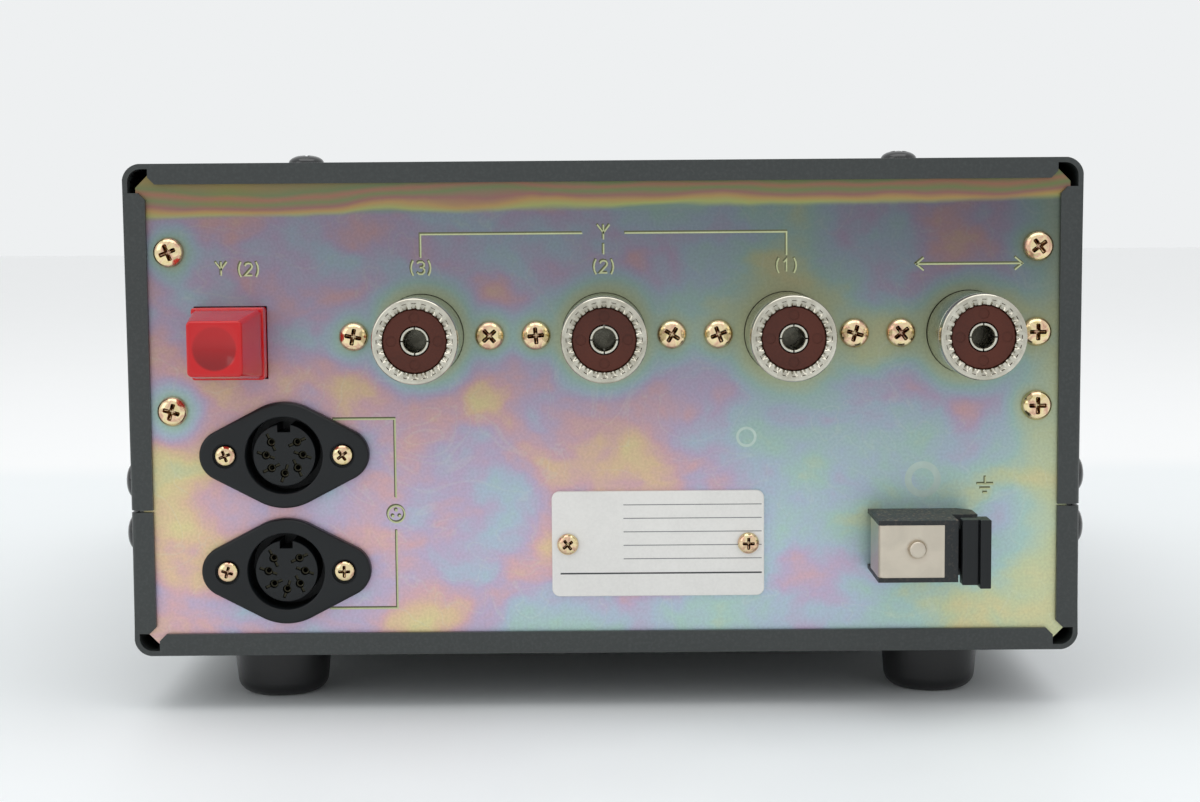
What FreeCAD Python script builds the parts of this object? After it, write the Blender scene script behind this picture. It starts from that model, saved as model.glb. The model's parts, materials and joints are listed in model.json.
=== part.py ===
import FreeCAD, Part
import math
import os
import re

import Sketcher
from FreeCAD import Placement, Rotation, Vector

# A desk-top automatic antenna tuner, in millimetres.
# +Z is up, the socket panel faces +Y and the control panel faces -Y. The origin is on the
# surface that the feet stand on, at the middle of the whole object.

DIMENSIONS = [
    # all over
    ("past", 1.0, "how far a cutting shape runs past a face"),
    ("hole_clearance", 0.1, "gap round a socket in its hole"),
    ("free_clearance", 0.6, "gap round a shaft, stem or screw head that runs free"),
    ("end_gap", 1.0, "end of a pressed stem to the bottom of its bore"),
    # casing
    ("case_width", 181.0, "outside width over the covers"),
    ("case_height", 94.0, "outside height over the covers, without the feet"),
    ("case_depth", 239.0, "from the front panel's rim to the rear lips of the covers"),
    ("foot_height", 11.0, "height of a rubber foot"),
    ("cover_sheet", 1.0, "steel of the two covers"),
    ("cover_corner", 3.5, "outside radius of the covers' long edges"),
    ("cover_gap", 0.3, "gap between the covers and the front panel"),
    ("seam_height", 28.0, "seam between the covers, above the underside"),
    ("seam_gap", 0.4, "gap at that seam"),
    ("lip_width", 4.2, "width of the lips folded in at the rear"),
    ("lip_top", 3.9, "width of the lip along the top"),
    ("lip_bevel", 1.3, "bevel at the inner corners of a lip"),
    ("lip_end_top", 4.8, "from the side of the case to the end of the top lip"),
    ("lip_end_side", 5.5, "from the top of the case to the end of a side lip"),
    ("lip_end_low", 4.3, "from the underside to the end of a side lip"),
    ("panel_sheet", 1.2, "steel of the panels and frames"),
    ("panel_flange", 28.0, "depth of the flanges that the covers are screwed to"),
    ("panel_bend", 2.0, "outside radius of those bends"),
    ("web_half_width", 88.2, "half the width of the panels' webs"),
    ("web_chamfer", 2.9, "chamfer at the corners of a web"),
    ("web_gap", 0.6, "gap between those corners and the covers"),
    ("flange_half_width", 84.0, "half the width of the panels' flanges"),
    ("frame_half_width", 89.3, "middle plane to the outside of a side frame"),
    ("frame_flange", 12.5, "width of the side frames' folded ends"),
    ("frame_margin", 5.5, "side frames stop this far inside the covers"),
    ("notch_low", 50.5, "lower end of the notch in a side frame's rear flange"),
    ("notch_high", 71.5, "upper end of that notch"),
    ("deck_height", 30.0, "underside of the deck, above the underside of the case"),
    ("deck_front", -98.0, "front edge of the deck"),
    ("deck_rear", 88.0, "rear edge of the deck"),
    ("deck_fold", 9.0, "height of the deck's folded sides"),
    ("pillar_x", 70.0, "board pillars, sideways"),
    ("pillar_front", -86.0, "front board pillars"),
    ("pillar_rear", 72.0, "rear board pillars"),
    ("pillar_radius", 3.0, "radius of a board pillar"),
    ("front_depth", 9.0, "depth of the moulded front panel"),
    ("front_rim", 1.0, "how far its rim stands proud of its face"),
    ("front_wall", 2.4, "thickness of its face and skirt"),
    # feet
    ("foot_top_radius", 9.8, "radius of a foot where it meets the case"),
    ("foot_low_radius", 8.8, "radius of a foot at the floor"),
    ("foot_edge", 3.0, "rounding of a foot's lower edge"),
    ("foot_recess_radius", 4.2, "screw recess in a foot"),
    ("foot_recess_depth", 6.0, "depth of that recess"),
    ("foot_x", 65.0, "feet, sideways"),
    ("foot_inset", 20.0, "feet, from the front and rear edges"),
    # screws
    ("truss_radius", 3.5, "head of a cover screw"),
    ("truss_head", 1.9, "height of that head"),
    ("pan_radius", 2.9, "head of a rear panel screw"),
    ("pan_head", 1.9, "height of that head"),
    ("socket_head_radius", 2.8, "head of a socket screw"),
    ("small_head_radius", 2.05, "head of an accessory socket or nameplate screw"),
    ("small_head", 1.3, "height of that head"),
    ("head_side", 0.4, "share of a head's height that its side takes"),
    ("head_slope", 0.8, "share of the height where its slope ends"),
    ("head_slope_radius", 0.78, "share of its radius where its slope ends"),
    ("head_top_radius", 0.42, "share of its radius that is flat on top"),
    ("cross_arm", 0.52, "reach of a cross recess, as a share of the head's radius"),
    ("cross_half", 0.13, "half the width of its arms, as a share of that radius"),
    ("cross_floor", 0.35, "its floor, as a share of the head's height"),
    ("screw_radius", 1.5, "shank of the cover, panel and socket screws"),
    ("small_screw_radius", 1.0, "shank of the small screws"),
    ("screw_length", 6.0, "shank length"),
    ("small_screw_length", 4.0, "shank length of the small screws"),
    ("top_screw_x", 58.7, "top cover screws, sideways"),
    ("top_screw_inset", 22.0, "top cover screws, from the edges"),
    ("side_screw_inset", 6.5, "side cover screws, from the edges"),
    ("side_screw_upper", 33.3, "side screws of the top cover, above the underside"),
    ("side_screw_lower", 23.2, "side screws of the bottom cover"),
    ("panel_screw_x", 82.2, "rear panel screws, sideways"),
    ("panel_screw_upper", 77.3, "upper rear panel screws"),
    ("panel_screw_lower", 47.1, "lower rear panel screws"),
    # coaxial sockets
    ("socket_height", 61.1, "row of coaxial sockets, above the underside"),
    ("socket_pitch", 34.6, "sideways distance between sockets"),
    ("thread_radius", 7.94, "5/8 inch thread, outside"),
    ("thread_length", 16.6, "how far a socket stands out of the panel"),
    ("socket_neck", 0.8, "where the thread starts, out of the panel"),
    ("neck_radius", 7.44, "neck of a socket, below its thread"),
    ("insulator_radius", 5.85, "insulator of a coaxial socket"),
    ("contact_radius", 2.65, "centre contact, outside"),
    ("contact_bore", 2.0, "centre contact, inside"),
    ("contact_depth", 12.0, "depth of that bore"),
    ("contact_tail", 5.0, "centre contact behind its insulator"),
    ("insulator_inset", 0.3, "insulator's face inside the end of its socket"),
    ("contact_slit", 0.3, "width of its slits"),
    ("socket_screw_x", 12.9, "socket screws, either side of the socket"),
    ("socket_flange", 2.0, "thickness of a socket's flange"),
    ("socket_flange_radius", 4.0, "ends of that flange"),
    ("socket_back", 9.0, "depth of the insulator behind the panel"),
    # accessory sockets
    ("accessory_x", 61.0, "accessory sockets, sideways"),
    ("accessory_upper", 38.7, "upper accessory socket, above the underside"),
    ("accessory_lower", 16.4, "lower accessory socket"),
    ("accessory_radius", 10.15, "middle of the accessory socket's flange"),
    ("accessory_end_radius", 5.0, "ends of that flange"),
    ("accessory_screw_x", 11.15, "its screws, either side"),
    ("accessory_flange", 2.0, "thickness of that flange"),
    ("accessory_barrel", 8.6, "radius of the barrel behind the panel"),
    ("accessory_depth", 13.0, "length of that barrel"),
    ("accessory_mouth", 7.35, "radius of the plug's way in"),
    ("accessory_insert", 6.0, "radius of the contact insert"),
    ("accessory_groove", 8.0, "depth of the gap round the insert"),
    ("accessory_recess", 0.8, "insert's face below the flange's face"),
    ("accessory_key", 2.5, "width of the key notch in the insert"),
    ("accessory_key_depth", 1.6, "depth of that notch"),
    ("accessory_sink", 0.6, "depth of the sinks for its screws"),
    ("accessory_sink_radius", 2.4, "radius of those sinks"),
    ("accessory_circle", 3.5, "circle of the contacts"),
    ("accessory_angle", 45.0, "degrees between two contacts"),
    ("accessory_pin", 0.7, "radius of a contact"),
    ("accessory_pin_inset", 0.8, "contact's tip below the insert's face"),
    ("accessory_pin_tail", 2.0, "contact behind the barrel"),
    # nameplate
    ("nameplate_x", -10.05, "nameplate, sideways"),
    ("nameplate_height", 21.1, "nameplate, above the underside"),
    ("nameplate_width", 40.6, "nameplate width"),
    ("nameplate_tall", 20.3, "nameplate height"),
    ("nameplate_sheet", 0.8, "nameplate thickness"),
    ("nameplate_corner", 1.5, "nameplate corner radius"),
    ("nameplate_screw_x", 17.25, "its screws, either side of its middle"),
    # bypass push button
    ("button_x", 70.8, "push button, sideways"),
    ("button_height", 60.1, "push button, above the underside"),
    ("button_reach", 18.0, "how far its face stands out of the panel"),
    ("button_collar", 13.6, "side of its square collar"),
    ("button_collar_reach", 4.0, "how far that collar stands out"),
    ("button_base", 13.1, "side of the cap at the collar"),
    ("button_face", 10.2, "side of its face"),
    ("button_dish", 4.2, "radius of the dish in its face"),
    ("button_dish_depth", 0.9, "depth of that dish"),
    ("button_travel", 3.0, "travel of the button"),
    ("button_clearance", 0.15, "gap round the collar"),
    ("stem_radius", 2.0, "stem of a push button"),
    ("stem_clearance", 0.05, "running clearance of a stem or a shaft"),
    ("switch_body", 16.0, "side of the switch"),
    ("switch_front", 5.2, "front of the switch, behind the panel's face"),
    ("switch_back", 27.0, "back of the switch"),
    ("switch_wall", 4.0, "solid part behind the stem's bore"),
    # ground terminal
    ("ground_left", 64.9, "far side of the terminal, sideways from the middle"),
    ("ground_right", 50.2, "near side of the terminal"),
    ("ground_low", 15.9, "underside of the terminal, above the underside of the case"),
    ("ground_high", 27.4, "top of the terminal"),
    ("ground_reach", 16.0, "how far it stands out of the panel"),
    ("ground_wall", 1.2, "its wall"),
    ("ground_shoulder_left", 69.7, "far side of its shoulder"),
    ("ground_shoulder", 8.5, "how far its shoulder stands out of the panel"),
    ("ground_chamfer", 2.5, "chamfer of the shoulder at the panel"),
    ("ground_floor", 4.5, "floor of its cavity and foot of its side leaf, out of the panel"),
    ("ground_gap", 2.0, "depth of the gap below the side leaf"),
    ("ground_plate", 0.8, "thickness of its clamp plate"),
    ("ground_plate_side", 62.4, "far side of that plate"),
    ("ground_plate_margin", 0.85, "black edge above and below that plate"),
    ("ground_pin_x", 55.5, "hinge of the lever, sideways"),
    ("ground_pin_reach", 11.0, "hinge of the lever, out of the panel"),
    ("ground_pin", 1.0, "radius of the lever's hinge pin"),
    ("ground_stud_x", 57.4, "stud, sideways"),
    ("ground_stud_height", 22.0, "stud, above the underside of the case"),
    ("ground_stud", 1.55, "radius of the stud"),
    ("ground_stud_proud", 0.4, "how far the stud stands out of the plate"),
    ("lever_left", 70.7, "far side of the lever's tab"),
    ("lever_right", 65.5, "near side of the lever's tab"),
    ("lever_low", 14.9, "underside of the tab's ridge"),
    ("lever_tab_low", 15.5, "underside of the rest of the tab"),
    ("lever_step", 0.5, "step down from the ridge to the rest of the tab"),
    ("lever_ridge", 2.0, "width of the ridge"),
    ("lever_ridge_deep", 5.1, "depth of the ridge"),
    ("lever_groove", 0.3, "width of the groove beside the ridge"),
    ("lever_high", 27.6, "top of the tab"),
    ("lever_reach", 17.5, "how far the tab stands out of the panel"),
    ("lever_thick", 3.6, "thickness of the tab"),
    ("lever_arm", 2.0, "thickness of the lever's arm"),
    ("lever_arm_tall", 7.6, "height of the arm"),
    ("lever_eye", 2.2, "radius of the lever's eye"),
    # front controls
    ("meter_x", -46.0, "meter, sideways"),
    ("meter_height", 58.0, "meter, above the underside"),
    ("meter_width", 58.0, "meter window width"),
    ("meter_tall", 38.0, "meter window height"),
    ("meter_wall", 1.5, "meter case wall"),
    ("meter_depth", 20.0, "meter case depth"),
    ("meter_core", 11.0, "solid rear part of the meter case"),
    ("meter_bearing", 7.0, "depth of the spindle's bearing in it"),
    ("meter_card", 0.8, "thickness of the dial"),
    ("meter_window", 1.6, "meter window thickness"),
    ("meter_drop", 11.0, "needle pivot below the middle of the window"),
    ("meter_pivot", 0.8, "radius of the needle's spindle"),
    ("needle_length", 25.0, "needle from its pivot to its tip"),
    ("needle_width", 0.8, "needle width"),
    ("needle_sheet", 0.4, "needle thickness"),
    ("needle_tail", 4.0, "needle behind its pivot"),
    ("needle_hub", 1.8, "radius of the needle's hub"),
    ("needle_hub_width", 1.2, "width of that hub"),
    ("needle_spindle", 6.0, "length of the needle's spindle"),
    ("needle_stand", 2.6, "front of the needle to the back of the dial"),
    ("needle_rest", 50.0, "needle at rest, degrees to the left of upright"),
    ("front_button_width", 14.0, "front push buttons, width"),
    ("front_button_tall", 8.0, "front push buttons, height"),
    ("front_button_reach", 4.5, "how far they stand out of the rim's plane"),
    ("front_button_travel", 2.5, "their travel"),
    ("front_button_low", 18.0, "their height above the underside"),
    ("power_x", -66.0, "power button, sideways"),
    ("tune_x", -26.0, "tune button, sideways"),
    ("front_switch", 13.0, "side of a front switch"),
    ("front_switch_depth", 12.0, "depth of a front switch"),
    ("front_switch_wall", 1.5, "solid part behind the stem's bore"),
    ("retainer_gap", 0.3, "face to a front button's retaining flange"),
    ("retainer_sheet", 0.7, "thickness of that flange"),
    ("retainer_width", 1.0, "how far that flange stands out round the button"),
    ("knob_x", 50.0, "selector knob, sideways"),
    ("knob_height", 50.0, "selector knob, above the underside"),
    ("knob_radius", 15.0, "selector knob at its skirt"),
    ("knob_grip", 11.5, "selector knob at its grip"),
    ("knob_skirt", 4.0, "length of the skirt"),
    ("knob_skirt_side", 2.4, "straight part of the skirt"),
    ("knob_edge", 1.0, "bevel at the knob's face"),
    ("knob_mark", 1.2, "width of the mark in the knob"),
    ("knob_mark_depth", 0.6, "depth of that mark"),
    ("knob_mark_start", 3.83, "inner end of that mark, from the axis"),
    ("knob_hold", 12.0, "shaft inside the knob"),
    ("knob_gap", 0.8, "knob to the face"),
    ("shaft_radius", 3.0, "selector and capacitor shafts"),
    ("selector_side", 28.0, "side of the selector switch"),
    ("selector_depth", 14.0, "depth of the selector switch"),
    ("selector_wall", 3.0, "solid part behind the shaft's bore"),
    ("selector_gap", 0.4, "end of the shaft to the bottom of that bore"),
    ("lens_radius", 2.0, "indicator lens"),
    ("lens_tail", 3.0, "indicator lens behind the face"),
    ("lens_pitch", 9.0, "distance between indicator lenses"),
    ("lens_height", 82.0, "indicator lenses, above the underside"),
    ("boss_x", 82.0, "front panel screws, sideways"),
    ("boss_low", 12.0, "lower front panel screws"),
    ("boss_high", 82.0, "upper front panel screws"),
    ("boss_radius", 3.6, "bosses for those screws"),
    # inside
    ("board_height", 8.0, "underside of the main board, above the underside of the case"),
    ("board_sheet", 1.6, "main board thickness"),
    ("board_half_width", 80.0, "half the width of the main board"),
    ("board_front", -98.0, "front edge of the main board"),
    ("board_rear", 84.0, "rear edge of the main board"),
    ("relay_width", 15.0, "relay"),
    ("relay_length", 24.0, "relay"),
    ("relay_tall", 14.0, "relay"),
    ("relay_pitch", 27.0, "distance between relays"),
    ("coil_radius", 15.0, "outside of the coil former"),
    ("coil_wall", 2.0, "wall of the coil former"),
    ("coil_foot", 3.0, "thickness of the coil former's feet"),
    ("coil_foot_lap", 4.0, "how far those feet reach up the former"),
    ("coil_wire", 1.0, "radius of the coil's wire"),
    ("coil_pitch", 3.4, "pitch of the coil"),
    ("coil_turns", 14.0, "turns of the coil"),
    ("coil_length", 60.0, "length of the coil former"),
    ("coil_y", 40.0, "middle of the coil"),
    ("coil_lift", 26.0, "axis of the coil above the deck"),
    ("capacitor_x", 45.0, "capacitor shafts, sideways"),
    ("capacitor_y", -34.0, "middle of the capacitors"),
    ("capacitor_lift", 26.0, "capacitor shafts above the deck"),
    ("capacitor_base", 3.0, "thickness of a capacitor's base"),
    ("front_end_rise", 8.0, "its front end plate above its shaft"),
    ("rear_end_rise", 9.0, "its rear end plate above its shaft"),
    ("rotor_shaft_front", 1.0, "its shaft in front of its front end plate"),
    ("rotor_shaft_rear", 2.0, "its shaft behind its gear"),
    ("plate_sheet", 0.8, "capacitor plates"),
    ("plate_pitch", 3.2, "pitch of the plates"),
    ("plate_count", 9.0, "rotor plates"),
    ("rotor_radius", 17.0, "rotor plates"),
    ("stator_half_width", 19.0, "stator plates"),
    ("stator_top", -4.0, "top of the stator plates, from the shaft"),
    ("end_plate", 1.5, "end plates of a capacitor"),
    ("end_y", 17.0, "inner faces of the end plates, from the middle"),
    ("gear_module", 0.8, "module of the gears"),
    ("gear_teeth", 57.0, "teeth of a capacitor's gear"),
    ("pinion_teeth", 18.0, "teeth of a motor's pinion"),
    ("gear_width", 3.0, "width of a gear"),
    ("gear_gap", 1.5, "end plate to gear"),
    ("gear_backlash", 0.16, "backlash of the gears"),
    ("motor_radius", 9.0, "motor"),
    ("motor_length", 24.0, "motor"),
    ("motor_shaft", 1.0, "motor shaft"),
    ("motor_shaft_depth", 8.0, "motor shaft inside the motor"),
    ("motor_hole_depth", 10.0, "depth of the hole for it"),
]

SOCKETS = {
    "radio_socket": "-2 * socket_pitch",
    "antenna_1_socket": "-socket_pitch",
    "antenna_2_socket": "0",
    "antenna_3_socket": "socket_pitch",
}

CONTACT_STEPS = range(-3, 4)
LENSES = 3
RELAYS = 4

# How near two measures must be to count as the same, in millimetres.
TOUCH = 0.01

# Gear teeth, as shares of the module, and the steps that a flank is drawn in.
ADDENDUM = 0.9
DEDENDUM = 1.2
PRESSURE_ANGLE = math.radians(20)
FLANK_STEPS = 4

# Levels that many pieces share, as formulas.
TOP = "(foot_height + case_height)"
SIDE = "(case_width / 2)"
REAR = "(case_depth / 2)"
WEB = "(case_depth / 2 - cover_sheet)"
WEB_INSIDE = "(case_depth / 2 - cover_sheet - panel_sheet)"
FRONT = "(-case_depth / 2)"
FACE = "(-case_depth / 2 + front_rim)"
FACE_INSIDE = "(-case_depth / 2 + front_rim + front_wall)"
SUBPANEL = "(-case_depth / 2 + front_depth)"
SUBPANEL_INSIDE = "(-case_depth / 2 + front_depth + panel_sheet)"
COVER_FRONT = "(-case_depth / 2 + front_depth + cover_gap)"
INSIDE_TOP = "(foot_height + case_height - cover_sheet)"
INSIDE_LOW = "(foot_height + cover_sheet)"
DECK_TOP = "(foot_height + deck_height + panel_sheet)"

TURN = {
    "+z": Rotation(),
    "-z": Rotation(Vector(1, 0, 0), 180),
    "+y": Rotation(Vector(1, 0, 0), -90),
    "-y": Rotation(Vector(1, 0, 0), 90),
    "+x": Rotation(Vector(0, 1, 0), 90),
    "-x": Rotation(Vector(0, 1, 0), -90),
}

doc = FreeCAD.newDocument("antenna_tuner")
dims = doc.addObject("Spreadsheet::Sheet", "dims")
for row, (alias, size, meaning) in enumerate(DIMENSIONS, 1):
    dims.set(f"A{row}", meaning)
    dims.set(f"B{row}", str(size))
    dims.setAlias(f"B{row}", alias)
doc.recompute()
ALIASES = {alias for alias, size, meaning in DIMENSIONS}


# ---- formulas, primitives and booleans ----

def formula(text):
    """The text with the sheet's name put before every dimension."""
    def qualify(match):
        word = match.group()
        return "dims." + word if word in ALIASES else word
    return re.sub(r"[A-Za-z_][A-Za-z_0-9]*", qualify, str(text))


def number(text):
    """The value of a formula."""
    return FreeCAD.Units.Quantity(dims.evalExpression(formula(text))).Value


def above(height):
    """A height above the underside of the case, as a height above the floor."""
    return f"(foot_height + {height})"


def bind(thing, **formulas):
    for prop, text in formulas.items():
        thing.setExpression(prop, formula(text))
    return thing


def place(thing, x=0, y=0, z=0, turn="+z"):
    thing.Placement = Placement(Vector(), TURN[turn])
    for axis, text in zip("xyz", (x, y, z)):
        thing.setExpression("Placement.Base." + axis, formula(text))
    return thing


def box(name, x, y, z):
    """A box between two formulas along each axis."""
    solid = doc.addObject("Part::Box", name)
    for prop, (low, high) in zip(("Length", "Width", "Height"), (x, y, z)):
        solid.setExpression(prop, formula(f"({high}) - ({low})"))
    return place(solid, x[0], y[0], z[0])


def rod(name, radius, length, at, turn="+z"):
    solid = bind(doc.addObject("Part::Cylinder", name), Radius=radius, Height=length)
    return place(solid, *at, turn)


def fuse(name, *pieces):
    solid = doc.addObject("Part::MultiFuse", name)
    solid.Shapes = list(pieces)
    return solid


def cut(name, base, *tools):
    solid = doc.addObject("Part::Cut", name)
    solid.Base = base
    solid.Tool = tools[0] if len(tools) == 1 else fuse(name + "_cuts", *tools)
    return solid


def group(name, *pieces):
    solid = doc.addObject("Part::Compound", name)
    solid.Links = list(pieces)
    return solid


def copy_of(master, name, x, y, z, turn):
    """One more of an identical piece."""
    link = doc.addObject("App::Link", name)
    link.LinkedObject = master
    return place(link, x, y, z, turn)


def mirrored(name, piece):
    """The piece's mirror image across the middle plane of the case."""
    mirror = doc.addObject("Part::Mirroring", name)
    mirror.Source = piece
    mirror.Normal = Vector(1, 0, 0)
    return mirror


# ---- sketched bodies ----

def new_body(name):
    return doc.addObject("PartDesign::Body", name)


def sketch_on(body, name, plane, level=0):
    """A sketch parallel to an origin plane, level millimetres along the plane's row axis."""
    sketch = body.newObject("Sketcher::SketchObject", name)
    role = plane + "_Plane"
    support = next(item for item in body.Origin.OriginFeatures if item.Role == role)
    sketch.AttachmentSupport = [(support, "")]
    sketch.MapMode = "FlatFace"
    shift = f"-({level})" if plane == "XZ" else level
    sketch.setExpression("AttachmentOffset.Base.z", formula(shift))
    return sketch


def hold(sketch, element, point, x, y):
    """Dimension one sketch point from the sketch's origin."""
    for kind, axis, text in (("DistanceX", -2, x), ("DistanceY", -1, y)):
        size = number(text)
        if size == 0:
            sketch.addConstraint(Sketcher.Constraint("PointOnObject", element, point, axis))
            continue
        index = sketch.addConstraint(Sketcher.Constraint(kind, -1, 1, element, point, size))
        sketch.setExpression(f"Constraints[{index}]", formula(text))


def add_outline(sketch, points):
    """A closed outline of straight lines through points given as formulas."""
    first = sketch.GeometryCount
    corners = [Vector(number(x), number(y), 0) for x, y in points]
    count = len(corners)
    for index, corner in enumerate(corners):
        sketch.addGeometry(Part.LineSegment(corner, corners[(index + 1) % count]), False)
    for index, (x, y) in enumerate(points):
        following = first + (index + 1) % count
        sketch.addConstraint(Sketcher.Constraint("Coincident", first + index, 2, following, 1))
        hold(sketch, first + index, 1, x, y)


def add_circle(sketch, x, y, radius):
    circle = Part.Circle(Vector(number(x), number(y), 0), Vector(0, 0, 1), number(radius))
    element = sketch.addGeometry(circle, False)
    hold(sketch, element, 3, x, y)
    index = sketch.addConstraint(Sketcher.Constraint("Radius", element, number(radius)))
    sketch.setExpression(f"Constraints[{index}]", formula(radius))


def rectangle(x, y):
    return [(x[0], y[0]), (x[1], y[0]), (x[1], y[1]), (x[0], y[1])]


def pad(body, name, plane, points, start, stop):
    """Material from start to stop along the plane's row axis."""
    sketch = sketch_on(body, name + "_sketch", plane, stop if plane == "XZ" else start)
    add_outline(sketch, points)
    feature = body.newObject("PartDesign::Pad", name)
    feature.Profile = sketch
    return bind(feature, Length=f"({stop}) - ({start})")


def pocket(body, name, plane, outlines, circles, start, stop):
    """Holes from start to stop along the plane's row axis."""
    sketch = sketch_on(body, name + "_sketch", plane, start if plane == "XZ" else stop)
    for outline in outlines:
        add_outline(sketch, outline)
    for circle in circles:
        add_circle(sketch, *circle)
    feature = body.newObject("PartDesign::Pocket", name)
    feature.Profile = sketch
    bind(feature, Length=f"({stop}) - ({start})")
    doc.recompute()
    if feature.Shape.Volume > feature.BaseFeature.Shape.Volume - TOUCH ** 3:
        raise RuntimeError(f"{body.Label}: {name} cuts nothing")
    return feature


def revolve(body, name, plane, points):
    """Material turned about the sketch's vertical axis."""
    sketch = sketch_on(body, name + "_sketch", plane)
    add_outline(sketch, points)
    feature = body.newObject("PartDesign::Revolution", name)
    feature.Profile = sketch
    feature.ReferenceAxis = (sketch, ["V_Axis"])
    feature.Angle = 360
    return feature


def round_edges(body, name, radius, chosen):
    """Round those edges of the body so far that chosen accepts."""
    doc.recompute()
    base = body.Tip
    edges = [f"Edge{i}" for i, edge in enumerate(base.Shape.Edges, 1) if chosen(edge)]
    if not edges:
        raise RuntimeError(f"{body.Label}: {name} finds no edge")
    feature = body.newObject("PartDesign::Fillet", name)
    feature.Base = (base, edges)
    return bind(feature, Radius=radius)


def edge_on(**levels):
    """Accepts an edge whose every point lies on the levels given, as x=, y= and z= formulas.
    An edge may lie on either side of the middle plane of the case."""
    wanted = {axis: number(text) for axis, text in levels.items()}

    def chosen(edge):
        span = edge.BoundBox
        spans = {"x": (span.XMin, span.XMax), "y": (span.YMin, span.YMax), "z": (span.ZMin, span.ZMax)}
        for axis, level in wanted.items():
            start, stop = spans[axis]
            place_now = abs(start) if axis == "x" else start
            if stop - start > TOUCH or abs(place_now - level) > TOUCH:
                return False
        return True
    return chosen


# ---- screws ----

def screw(name, head_radius, head, shank_radius, shank):
    """A cross-recessed screw that stands on the XY plane with its head up."""
    body = new_body(name)
    revolve(body, name + "_turned", "XZ", [
        ("0", f"-{shank}"), (shank_radius, f"-{shank}"), (shank_radius, "0"), (head_radius, "0"),
        (head_radius, f"{head} * head_side"),
        (f"{head_radius} * head_slope_radius", f"{head} * head_slope"),
        (f"{head_radius} * head_top_radius", head), ("0", head)])
    arm = f"({head_radius} * cross_arm)"
    half = f"({head_radius} * cross_half)"
    cross = [(arm, half), (half, half), (half, arm), (f"-{half}", arm), (f"-{half}", half),
             (f"-{arm}", half), (f"-{arm}", f"-{half}"), (f"-{half}", f"-{half}"),
             (f"-{half}", f"-{arm}"), (half, f"-{arm}"), (half, f"-{half}"), (arm, f"-{half}")]
    pocket(body, name + "_recess", "XY", [cross], [], f"{head} * cross_floor", head)
    return body


truss_screw = screw("truss_screw", "truss_radius", "truss_head", "screw_radius", "screw_length")
pan_screw = screw("pan_screw", "pan_radius", "pan_head", "screw_radius", "screw_length")
socket_screw = screw("socket_screw", "socket_head_radius", "pan_head", "screw_radius",
                     "(panel_sheet + socket_flange)")
small_screw = screw("small_screw", "small_head_radius", "small_head", "small_screw_radius",
                    "small_screw_length")
foot_screw = screw("foot_screw", "pan_radius", "pan_head", "screw_radius",
                   "(foot_height - foot_recess_depth + cover_sheet + 2 * panel_sheet)")


def screw_group(name, master, spots):
    """Identical screws, each at x, y, z with its head pointing along turn."""
    copies = [copy_of(master, f"{name}_{index}", *spot) for index, spot in enumerate(spots, 1)]
    return group(name, *copies)


SIGNS = ("-1", "1")
TOP_SCREW_REAR = f"({REAR} - top_screw_inset)"
TOP_SCREW_FRONT = f"({COVER_FRONT} + top_screw_inset)"
SIDE_SCREW_REAR = f"({REAR} - side_screw_inset)"
SIDE_SCREW_FRONT = f"({COVER_FRONT} + side_screw_inset)"
FOOT_REAR = f"({REAR} - foot_inset)"
FOOT_FRONT = f"({COVER_FRONT} + foot_inset)"


def fastenings():
    """The screws that hold the casing together."""
    top = [(f"{sign} * top_screw_x", y, TOP, "+z")
           for sign in SIGNS for y in (TOP_SCREW_FRONT, TOP_SCREW_REAR)]
    side = [(f"{sign} * case_width / 2", y, above(z), turn)
            for sign, turn in (("-1", "-x"), ("1", "+x"))
            for y in (SIDE_SCREW_FRONT, SIDE_SCREW_REAR)
            for z in ("side_screw_lower", "side_screw_upper")]
    rear = [(f"{sign} * panel_screw_x", WEB, above(z), "+y")
            for sign in SIGNS for z in ("panel_screw_lower", "panel_screw_upper")]
    foot = [(f"{sign} * foot_x", y, "foot_recess_depth", "-z")
            for sign in SIGNS for y in (FOOT_FRONT, FOOT_REAR)]
    pillar = [(f"{sign} * pillar_x", y, above("board_height"), "-z")
              for sign in SIGNS for y in ("pillar_front", "pillar_rear")]
    boss = [(f"{sign} * boss_x", SUBPANEL_INSIDE, above(z), "+y")
            for sign in SIGNS for z in ("boss_low", "boss_high")]
    return [
        screw_group("top_cover_screws", truss_screw, top),
        screw_group("side_cover_screws", truss_screw, side),
        screw_group("rear_panel_screws", pan_screw, rear),
        screw_group("foot_screws", foot_screw, foot),
        screw_group("frame_screws", pan_screw, pillar + boss),
    ]


# ---- covers ----

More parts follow.
